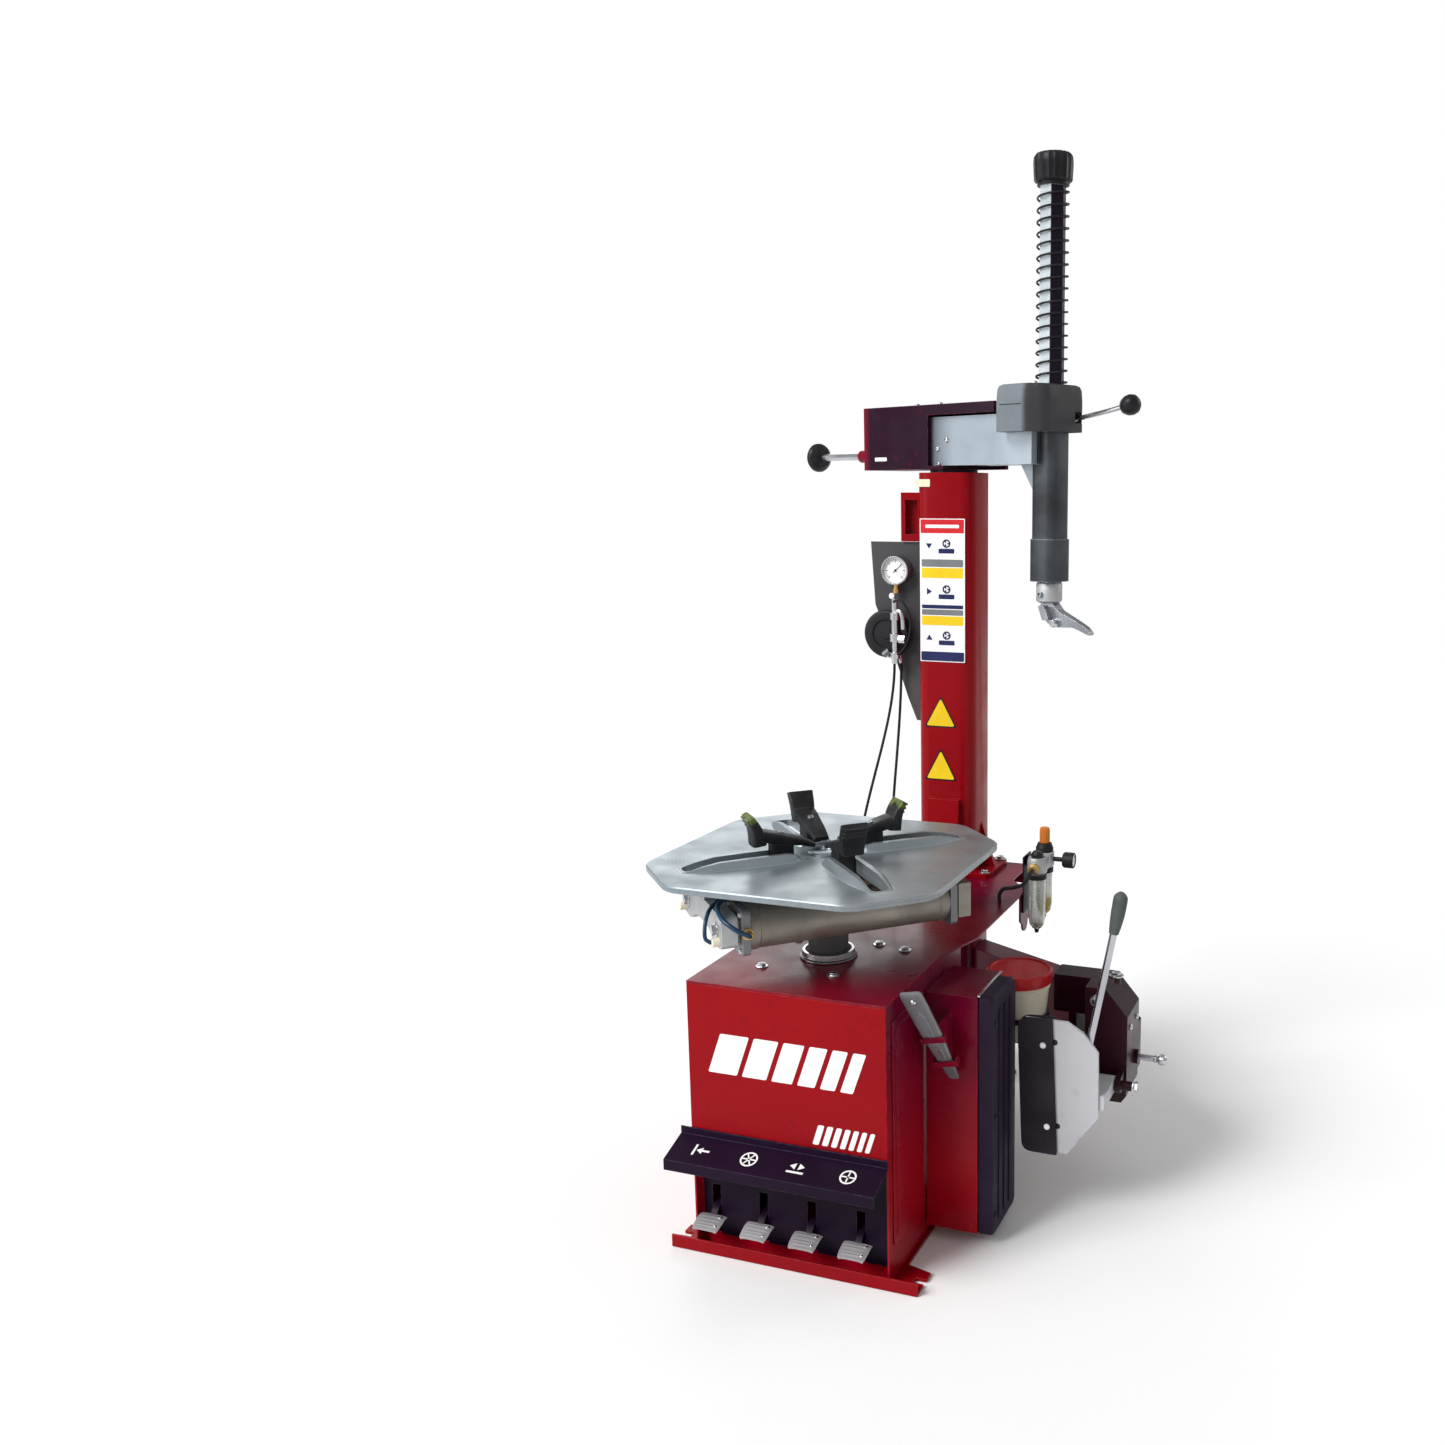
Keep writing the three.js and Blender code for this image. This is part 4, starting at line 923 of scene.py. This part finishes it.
piece("clamp_barrels", "jaw_left_front", "cylinder_metal",
      [(merged(*tubes), BARREL), (merged(*caps), LEVER_STEEL), (merged(yoke, neck), ALLOY),
       (cap_bolts, BRIGHT), (elbows, BRASS), (white_plugs, CREAM)], 1.0, 3,
      replaces=["clamp_cylinders"], at=quarter)
supply_hoses = [hose([(-192, side * 155, 628), (-200, side * 163, 634), (-222, side * 160, 648),
                      (-236, side * 132, 662), (-226, side * 90, 672), (-180, side * 60, 676),
                      (-110, side * 34, 676), (-60, side * 46, 672)], 4) for side in SIDES]
plug_hose = hose([(-248, -112, 612), (-258, -112, 624), (-250, -96, 652), (-226, -70, 668),
                  (-150, -26, 690), (-80, -24, 690)], 3.5)
piece("clamp_hoses", "jaw_left_front", "rubber", [(merged(*supply_hoses, plug_hose), BLUE_HOSE)], 0,
      at=quarter)


# ---------- column labels ----------
LABEL_Y = 564.7


def card(x0, x1, z0, z1, depth):
    return slab_y(rect(x0, x1, z0, z1, 2, 3), LABEL_Y - 0.5 - depth, LABEL_Y + 0.1)


cells = [(merged(*(card(*spot, depth) for spot in spots)), finish) for finish, depth, spots in (
    (WHITE, 0, [(-33, 70, 994, 1303)]),
    (PRINT_RED, 0.3, [(-31, 68, 1272, 1301)]),
    (PRINT_GREY, 0.3, [(-29, 66, 1200, 1216), (-29, 66, 1096, 1108)]),
    (YELLOW, 0.3, [(-29, 66, 1176, 1198), (-29, 66, 1074, 1094)]),
    (NAVY, 0.3, [(-31, 68, 996, 1016), (-29, 66, 1110, 1118)]))]
on_label = facing((0, LABEL_Y - 0.8, 0), FRONT)


def pictogram(z, degrees):
    """An arrow beside a wheel that lies on a box."""
    return merged(moved(arrow(-12, z, degrees), on_label),
                  moved(wheel(9, 3), on_label @ Matrix.Translation((28, z + 5, 0))),
                  card(10, 46, z - 16, z - 6, 0.4))


marks = merged(pictogram(1245, -90), pictogram(1147, 0), pictogram(1047, 90))
red_marks = card(-20, 57, 1283, 1290, 0.6)
piece("column_label", "root", "red_paint", [*cells, (marks, NAVY), (red_marks, WHITE)], 0)


def triangle(base_z, top_z, inset, depth):
    return slab_y(rounded([(-25 + inset * 1.7, base_z + inset), (51 - inset * 1.7, base_z + inset),
                           (13.5, top_z - inset * 2)], 6), LABEL_Y - 0.5 - depth, LABEL_Y + 0.1)


for number, (low, high) in enumerate(((849, 919), (730, 802))):
    piece(f"column_triangle_{number}", "root", "red_paint",
          [(triangle(low, high, 0, 0), BLACK), (triangle(low, high, 3, 0.3), YELLOW)], 0)
piece("column_tag", "root", "cream_plastic",
      [(slab_y(rect(-43, -9, 1370, 1386, 2), LABEL_Y - 0.8, LABEL_Y + 0.1), CREAM)], 0.2)
foot_bolts = along(hex_bolt(9), UP, *((x, y, 525.6) for x in (-68, 112) for y in (572, 688)))
piece("column_bolts", "root", "bright_steel", [(foot_bolts, BRIGHT)], 0.5)


# ---------- gauge, inflator and air lines ----------
gauge_at = facing((-100, 606, 1189), FRONT)
bezel = ring_lathe([(31, 0), (33, 2), (33, 22), (31.5, 25.5), (28.5, 25.5), (28, 20), (28, 2)], 56)
back_shell = turned([(30, 0.5), (31, 4), (31, 16)], 48)
dial = turned([(28.2, 15), (28.2, 19)], 48)
ticks = merged(*(moved(flat_bar(20 if i % 5 else 17, 0, 25, 0, 0.7 if i % 5 else 1.3),
                       Matrix.Translation((0, 0, 19.1)) @ spin(-45 + 9 * i)) for i in range(31)))
needle = merged(moved(flat_bar(-6, -5, 15, 13, 1.3), (0, 0, 20)),
                moved(lathe([(0, 0), (2.6, 0), (2.2, 2), (0, 2.4)], 20), (0, 0, 19.6)))
stem = turned([(8, 0), (8, 10), (6, 11), (6, 22)], 24)
button = lathe([(0, 0), (7, 0), (7, 2), (5.5, 3.6), (0, 4)], 28)
piece("pressure_gauge_dial", "root", "bright_steel",
      [*placed(gauge_at, (merged(bezel, back_shell), BRIGHT), (dial, WHITE),
               (merged(ticks, needle), BLACK)),
       (moved(stem, (-100, 592, 1139)), BRASS),
       (along(button, FRONT, (-116, 606, 1131)), WHITE)], 0.4,
      replaces=["pressure_gauge"])

reel_at = facing((-122, 605.5, 1049), FRONT)
reel = turned([(47, 0), (52, 2), (53, 5), (53, 9), (49, 11), (49, 14), (53, 16), (53, 20),
              (51, 24), (45, 26.4), (32, 25), (30, 22), (13, 22), (11, 24)], 56)
tower = (-97, 574, 985)
fitting = turned([(8, 0), (8, 10), (11, 11), (11, 24), (7, 25), (7, 48), (12, 49), (12, 66),
                 (8, 68), (8, 96), (11, 97), (11, 112), (7, 114), (7, 143)], 24)
arms = merged(tube([(-97, 576, 1014), (-109, 588, 1006), (-107, 594, 986)], 4.5),
              tube([(-97, 576, 1010), (-91, 588, 1002), (-91, 594, 985)], 4.5),
              tube(smooth([(-97, 572, 1096), (-84, 568, 1102), (-76, 566, 1090), (-74, 566, 1062)]), 5),
              tube([(-110, 572, 1012), (-122, 570, 1002)], 8, 6),
              along(turned([(9, 0), (9, 14)], 6), RIGHT, (-84, 566, 1040)))
curl = tube(smooth([(-97, 566, 1122), (-76, 562, 1124), (-60, 564, 1096), (-58, 566, 1060),
                    (-70, 566, 1024), (-90, 568, 1006), (-112, 570, 1004)]), 2.6)
piece("inflator_reel", "root", "black_plastic",
      [(moved(reel, reel_at), BLACK), (moved(fitting, tower), BRIGHT),
       (arms, BRIGHT), (curl, RUBBER)], 0.5, replaces=["inflator_unit"])


def air_line(name, start, end, node):
    """Line between two fittings; it leaves both ends straight and drifts sideways between."""
    route = []
    for i in range(25):
        t = i / 24
        drift = t * t * (3 - 2 * t)
        route.append(((start[0] + (end[0] - start[0]) * drift) * MM,
                      (start[1] + (end[1] - start[1]) * drift) * MM,
                      (start[2] + (end[2] - start[2]) * t) * MM))
    curve = bpy.data.curves.new(name, "CURVE")
    curve.dimensions = "3D"
    curve.bevel_depth = 0.003
    curve.bevel_resolution = 4
    curve.use_fill_caps = True
    spline = curve.splines.new("POLY")
    spline.points.add(len(route) - 1)
    for point, place in zip(spline.points, route):
        point.co = (*place, 1)
    curve.materials.append(RUBBER)
    obj = bpy.data.objects.new(name, curve)
    scene.collection.objects.link(obj)
    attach(obj, "root")
    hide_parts(node)


LINE_TOP, LINE_FOOT = 984, 516
air_line("inflator_line", (-107, 594, LINE_TOP), (-150, 470, LINE_FOOT), "inflator_hose")
air_line("gauge_line", (-91, 594, LINE_TOP), (-96, 532, LINE_FOOT), "gauge_air_line")
nipple = turned([(9, -1), (9, 3), (6, 4), (6, 9), (3.2, 10)], 20)
piece("line_nipples", "root", "bright_steel",
      [(merged(moved(nipple, (-150, 470, 515)), moved(nipple, (-96, 532, 515))), BRASS)], 0.3)


# ---------- air service unit ----------
FRL_X, FRONT_Y, REAR_Y, FRL_Z = 264, 470, 526, 575


def on_head(profile, y):
    return moved(turned(profile, 36), (FRL_X, y, FRL_Z))


def port(length, y, way):
    return along(turned([(11, 0), (11, 12), (8, 13), (8, length)], 28), (0, way, 0),
                 (FRL_X, y + 20 * way, 583))


heads = merged(on_head([(18, -8), (21, -4), (21, 20), (18, 27)], FRONT_Y),
               on_head([(18, -8), (21, -4), (21, 24), (17, 27)], REAR_Y),
               block(250, 278, 478, 520, 568, 596))
ports = merged(port(20, FRONT_Y, -1), port(30, REAR_Y, 1))
sight = on_head([(13, 26), (13, 34), (9, 40)], FRONT_Y)
collar = on_head([(19, 26), (19, 34), (17, 38), (15, 44)], REAR_Y)
hanger = merged(block(231, FRL_X - 8, 505, 511, 571, 595), block(228.4, 231.4, 481, 535, 472, 595))
side_gauge = facing((FRL_X + 10, REAR_Y, 585), RIGHT)
gauge_case = turned([(5, 0), (5, 30), (15, 32), (17, 35), (17, 54), (15.5, 56), (14, 56), (14, 53)],
                    36)
gauge_face = turned([(13.8, 53), (13.8, 54)], 32)
face_marks = merged(*(moved(flat_bar(9, 0, 12, 0, 0.9), Matrix.Translation((0, 0, 54)) @ spin(a))
                      for a in range(-45, 226, 30)), moved(flat_bar(-3, -2, 8, 6, 1), (0, 0, 54.2)))
piece("service_unit_body", "root", "bright_steel",
      [(heads, ALLOY), (ports, BRASS), (merged(sight, collar), BLACK), (hanger, BLACK_PAINT),
       *placed(side_gauge, (gauge_case, BLACK), (gauge_face, WHITE), (face_marks, BLACK))],
      0.6, replaces=["air_service_unit"])


def bowl_parts(bottom, radius, clear):
    """Clear bowl, and its black rim and drain."""
    top, wall = FRL_Z - 8.4, 2.2
    shell = lathe([(0, bottom), (radius - 9, bottom + 1), (radius - 3, bottom + 9),
                   (radius, bottom + 24), (radius, top), (radius - wall, top),
                   (radius - wall, bottom + 25), (radius - 6, bottom + 12), (0, bottom + 5)], 36)
    rim = ring_lathe([(radius + 0.3, 556), (radius + 2.4, 556), (radius + 2.4, 566),
                      (radius + 0.3, 566)], 36)
    drain = turned([(4, bottom - 9), (5, bottom - 4), (5, bottom + 0.5)], 20)
    return [(shell, clear), (merged(rim, drain), BLACK)]


for name, node, y, bottom, radius, clear in (
        ("filter_bowl_shell", "filter_bowl", FRONT_Y, 446, 18, BOWL_WATER),
        ("oil_bowl_shell", "lubricator_bowl", REAR_Y, 462, 17, BOWL_OIL)):
    piece(name, "root", "clear_bowl", bowl_parts(bottom, radius, clear), 0.3, replaces=[node],
          at=(FRL_X, y, 0))
knob_ring = fluted(11, 9.9, 36)
knob_body = loft([level(knob_ring, z, scale)
                  for z, scale in ((619.5, 0.94), (622, 1), (648, 1), (652.6, 0.84))])
piece("regulator_cap", "regulator_knob", "orange_plastic",
      [(knob_body, ORANGE)], 0.2, replaces=["regulator_knob"], at=(FRL_X, REAR_Y, 0))
supply = hose([(FRL_X, 435, 583), (FRL_X, 414, 579), (256, 398, 563), (234, 398, 553),
               (210, 408, 545), (200, 410, 532), (200, 410, 515.5)], 4)
piece("service_pipe", "root", "rubber", [(supply, RUBBER)], 0, replaces=["service_hose"])


# ---------- soap bucket ----------
bucket_at = (300, 228, 0)
pail = lathe([(0, 312.4), (46, 312.4), (48.3, 314), (58, 412), (60, 413), (60.4, 417), (58.8, 418),
              (59.6, 437.4), (57.6, 437.4), (46.4, 316.5), (0, 315.5)], 56)
piece("bucket_pail", "bucket", "cream_plastic", [(pail, CREAM)], 0.3, replaces=["soap_bucket"],
      at=bucket_at)
lid = lathe([(0, 438.4), (60.4, 438.4), (60.4, 423.2), (62.6, 422.8), (63.2, 425), (63.2, 430),
             (64, 431), (64, 444), (62, 447), (57, 447), (55, 444.4), (50, 443.6), (0, 445)], 64)
piece("bucket_lid_cap", "bucket_lid", "lid_plastic", [(lid, LID)], 0.3, replaces=["bucket_lid"],
      at=bucket_at)


# ---------- bead breaker ----------
pin_knob = lathe([(0, 0), (6, 0), (6, 45), (7.5, 47), (7.5, 50), (5, 52), (9, 54), (11, 59),
                  (10, 66), (6, 71), (0, 72)], 28)
piece("arm_pin_knob", "stop_pin", "bright_steel", [(pin_knob, BRIGHT)], 0.2,
      replaces=["arm_stop_pin"], at=facing((511, 290, 270), RIGHT))
arm_bolts = merged(along(hex_bolt(11, 9), RIGHT, (537, 188, 254)),
                   along(hex_bolt(8), FRONT, (456, 215, 404), (456, 215, 232)),
                   along(hex_bolt(10), UP, (478, 290, 430)),
                   along(dome_screw(6), RIGHT, (518, 240, 350), (518, 296, 350)))
piece("arm_fasteners", "bead_arm", "bright_steel", [(arm_bolts, BRIGHT)], 0.4)
cover_edge = rounded([(347, 142, 20), (415, 142, 3), (404, 408, 3), (337, 404, 22)], 6, 6)
cover_shell = carved(slab_y(cover_edge, 91, 109), block(350.6, 430, 96.7, 103.3, 130, 420))
# The black spots beside the screws are painted shade standing for holes, and the screws' white is
# painted highlight.
spots = along(lathe([(0, 0), (6, 0), (4.8, 0.7), (0, 0.9)], 18), FRONT,
              (414.6, 96.6, 198), (408, 96.6, 362))
cover_bolts = along(dome_screw(6), FRONT, (396, 91, 197), (387, 91, 356))
piece("blade_guard", "blade", "black_plastic",
      [(cover_shell, RUBBER), (cover_bolts, WHITE), (spots, BLACK)], 1.4, 3,
      replaces=["blade_cover"])
rod_path = smooth([(461.5, 112, 320), (475, 112, 390), (494, 112, 490), (512, 112, 584)], 5)
grip_path = smooth([(511, 112, 578), (516, 112, 604), (521, 112, 634), (524, 112, 656)], 5)
grip_sizes = [9 + 4.2 * math.sin(math.pi * 0.5 * min(1, i / 9)) for i in range(len(grip_path) - 3)]
grip_sizes += [12.4, 9.6, 4.5]
foot_washer = along(turned([(13, 0), (13, 4), (9, 6)], 28), (0.19, 0, 0.98), (467, 112, 349))
piece("handle_rod", "blade", "bright_steel",
      [(tube(rod_path, 7, 20), BRIGHT), (tube(grip_path, grip_sizes, 22), GRIP),
       (foot_washer, MACHINED)], 0.2, replaces=["blade_handle"])
drum_bands = along(ring_lathe([(89, 0), (92, 0), (92, 9), (89, 9)], 64), RIGHT,
                   *((x, 290, 295) for x in (-140, 136)))
piece("drum_bands", "breaker_cylinder", "cylinder_metal", [(drum_bands, MACHINED)], 0.6)


# ---------- swing arm ----------
REACH = 273  # hexagon shaft's axis along the arm


def swing_piece(name, body, slot, parts, *edge, at=(0, 0, 0), replaces=()):
    """A piece whose parts are drawn along the swing arm, from the place given."""
    place = at if isinstance(at, Matrix) else Matrix.Translation(at)
    return piece(name, body, slot, parts, *edge, replaces=replaces, at=SWING @ place)


beam_screws = along(dome_screw(6), FRONT, (32, -54, 1468), (5, -54, 1450), (8, -54, 1418))
swing_piece("beam_screws", "horizontal_arm", "bright_steel", [(beam_screws, BRIGHT)], 0.2)
sleeve_mark = slab_y(rect(-180, -142, 1426, 1434, 2, 3), -66.5, -65.9)
swing_piece("sleeve_mark", "swing_arm", "grey_paint", [(sleeve_mark, WHITE)], 0)
sleeve_bolts = along(hex_bolt(5), UP, (-60, -50, 1542), (10, -50, 1542))
swing_piece("sleeve_bolts", "swing_arm", "bright_steel", [(sleeve_bolts, BRIGHT)], 0.4)
cover_plan = rounded([(200, -90, 12), (278, -90, 14), (312, -62, 16), (312, 62, 18), (200, 62, 12)],
                     12, 6)
cover_levels = [(1478, 0), (1480, 0), (1540, 0), (1560, 1.2), (1568, 4), (1571, 10)]
cover_body = loft([[(256 + (x - 256) * (1 - inset / 56), -14 + (y + 14) * (1 - inset / 76), z)
                    for x, y in cover_plan] for z, inset in cover_levels])
cover_body = carved(cover_body, block(180, 305, -54.3, 54.3, 1460, 1516.3),
                    moved(prism(circle(29.5, 6), 1500, 1600), (REACH, 0, 0)),
                    block(300, 320, 30, 60, 1496, 1518))
cover_seam = merged(block(199.6, 201, -88, -56, 1530, 1531.6),
                    block(214, 270, -90.6, -89, 1530, 1531.6))
vent = merged(*(block(212 + 7 * i, 216 + 7 * i, -74, -48, 1570.4, 1571.4) for i in range(4)))
lid_bolt = moved(hex_bolt(6), (271, -48, 1571))
swing_piece("lock_housing", "horizontal_arm", "grey_plastic",
            [(cover_body, GREY), (merged(cover_seam, vent), BLACK), (lid_bolt, BRIGHT)], 1.2, 3,
            replaces=["lock_cover"])
lever_rod = tube(smooth([(290, 45, 1503), (330, 45, 1509), (380, 45, 1517), (424, 45, 1525)], 4), 5)
lever_ball = along(lathe([(0, -21), (8, -20), (15, -15), (19.5, -6), (20.5, 3), (18, 12), (12, 18),
                          (5, 20.6), (0, 21)], 36), (1, 0, 0.15), (437, 45, 1527))
swing_piece("lock_handle", "lock_lever", "bright_steel", [(lever_rod, BRIGHT), (lever_ball, BLACK)],
            0.2, replaces=["lock_lever"])

shaft = merged(prism(circle(27, 6), 1176.4, 1960), prism(circle(18, 28), 1162, 1178))
rib_ring = fluted(38.2, 40, 40)
shaft_cap = merged(
    turned([(32, 1950), (32, 1958)], 48),
    loft([level(rib_ring, z, scale)
          for z, scale in ((1957, 0.9), (1960, 0.96), (1990, 1), (2003, 0.98), (2010, 0.86))]))
swing_piece("hex_bar", "hex_shaft", "machined_steel", [(shaft, HEX_STEEL), (shaft_cap, BLACK)],
            at=(REACH, 0, 0), replaces=["hex_shaft"])

SPRING_FOOT, SPRING_TOP, STROKE = 1571.3, 1949.7, 270  # resting ends, and the shaft's travel
TURNS, COIL, WIRE, STEPS = 16.5, 30.7, 2.2, 660
helix = [(COIL * math.cos(a), COIL * math.sin(a),
          SPRING_FOOT + WIRE + (SPRING_TOP - SPRING_FOOT - 2 * WIRE) * k / STEPS)
         for k in range(STEPS + 1) for a in (math.tau * TURNS * k / STEPS,)]
spring = swing_piece("return_spring", "horizontal_arm", "machined_steel",
                     [(tube(helix, WIRE, 8), BLACK)], 0, at=(REACH, 0, 0),
                     replaces=["shaft_spring"])
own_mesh(spring)

collar_shape = turned([(22, 1134), (27, 1138), (27, 1172), (25, 1176), (18.4, 1176),
                      (18.4, 1162)], 40)
side_view = rounded([(-11, 1136, 3), (16, 1136, 6), (32, 1119, 5), (78, 1100, 4), (102, 1089, 3),
                     (114, 1078, 2), (111, 1073, 2), (94, 1079, 4), (70, 1087, 5), (28, 1085, 8),
                     (4, 1093, 7), (-17, 1119, 6)], 6, 4)
bill = loft([[(x, y * (1 - 0.004 * max(x, 0)), z) for x, z in side_view]
             for y in (-12.6, -10, 10, 12.6)])
shoe = slab_y(rounded([(-8, 1129, 4), (8, 1129, 4), (22, 1103, 5), (5, 1098, 4)], 4, 4), -28, 28)
roller = along(turned([(7, -24), (9, -20), (9, 20), (7, 24)], 28), (0, 1, 0), (300 - REACH, 0, 1094))
head_screw = along(socket_screw(6), FRONT, (0, -27, 1152))
swing_piece("mount_head_cast", "hex_shaft", "bright_steel",
            [(collar_shape, ALLOY), (merged(bill, shoe), HEAD), (roller, BRIGHT),
             (head_screw, MACHINED)], at=(REACH, 0, 0), replaces=["mount_head"])

star_screw = turned([(8, 0), (8, 182)], 28)
star = lathe([(0, 181), (21, 181.4), (30, 188), (32.8, 194), (32.8, 200), (29, 205.6), (22, 208.7),
              (0, 208.8)], 48)
swing_piece("star_handle", "star_knob", "black_plastic", [(star_screw, BRIGHT), (star, BLACK)], 0.3,
            at=facing((-206, -40, 1438), LEFT), replaces=["star_knob"])
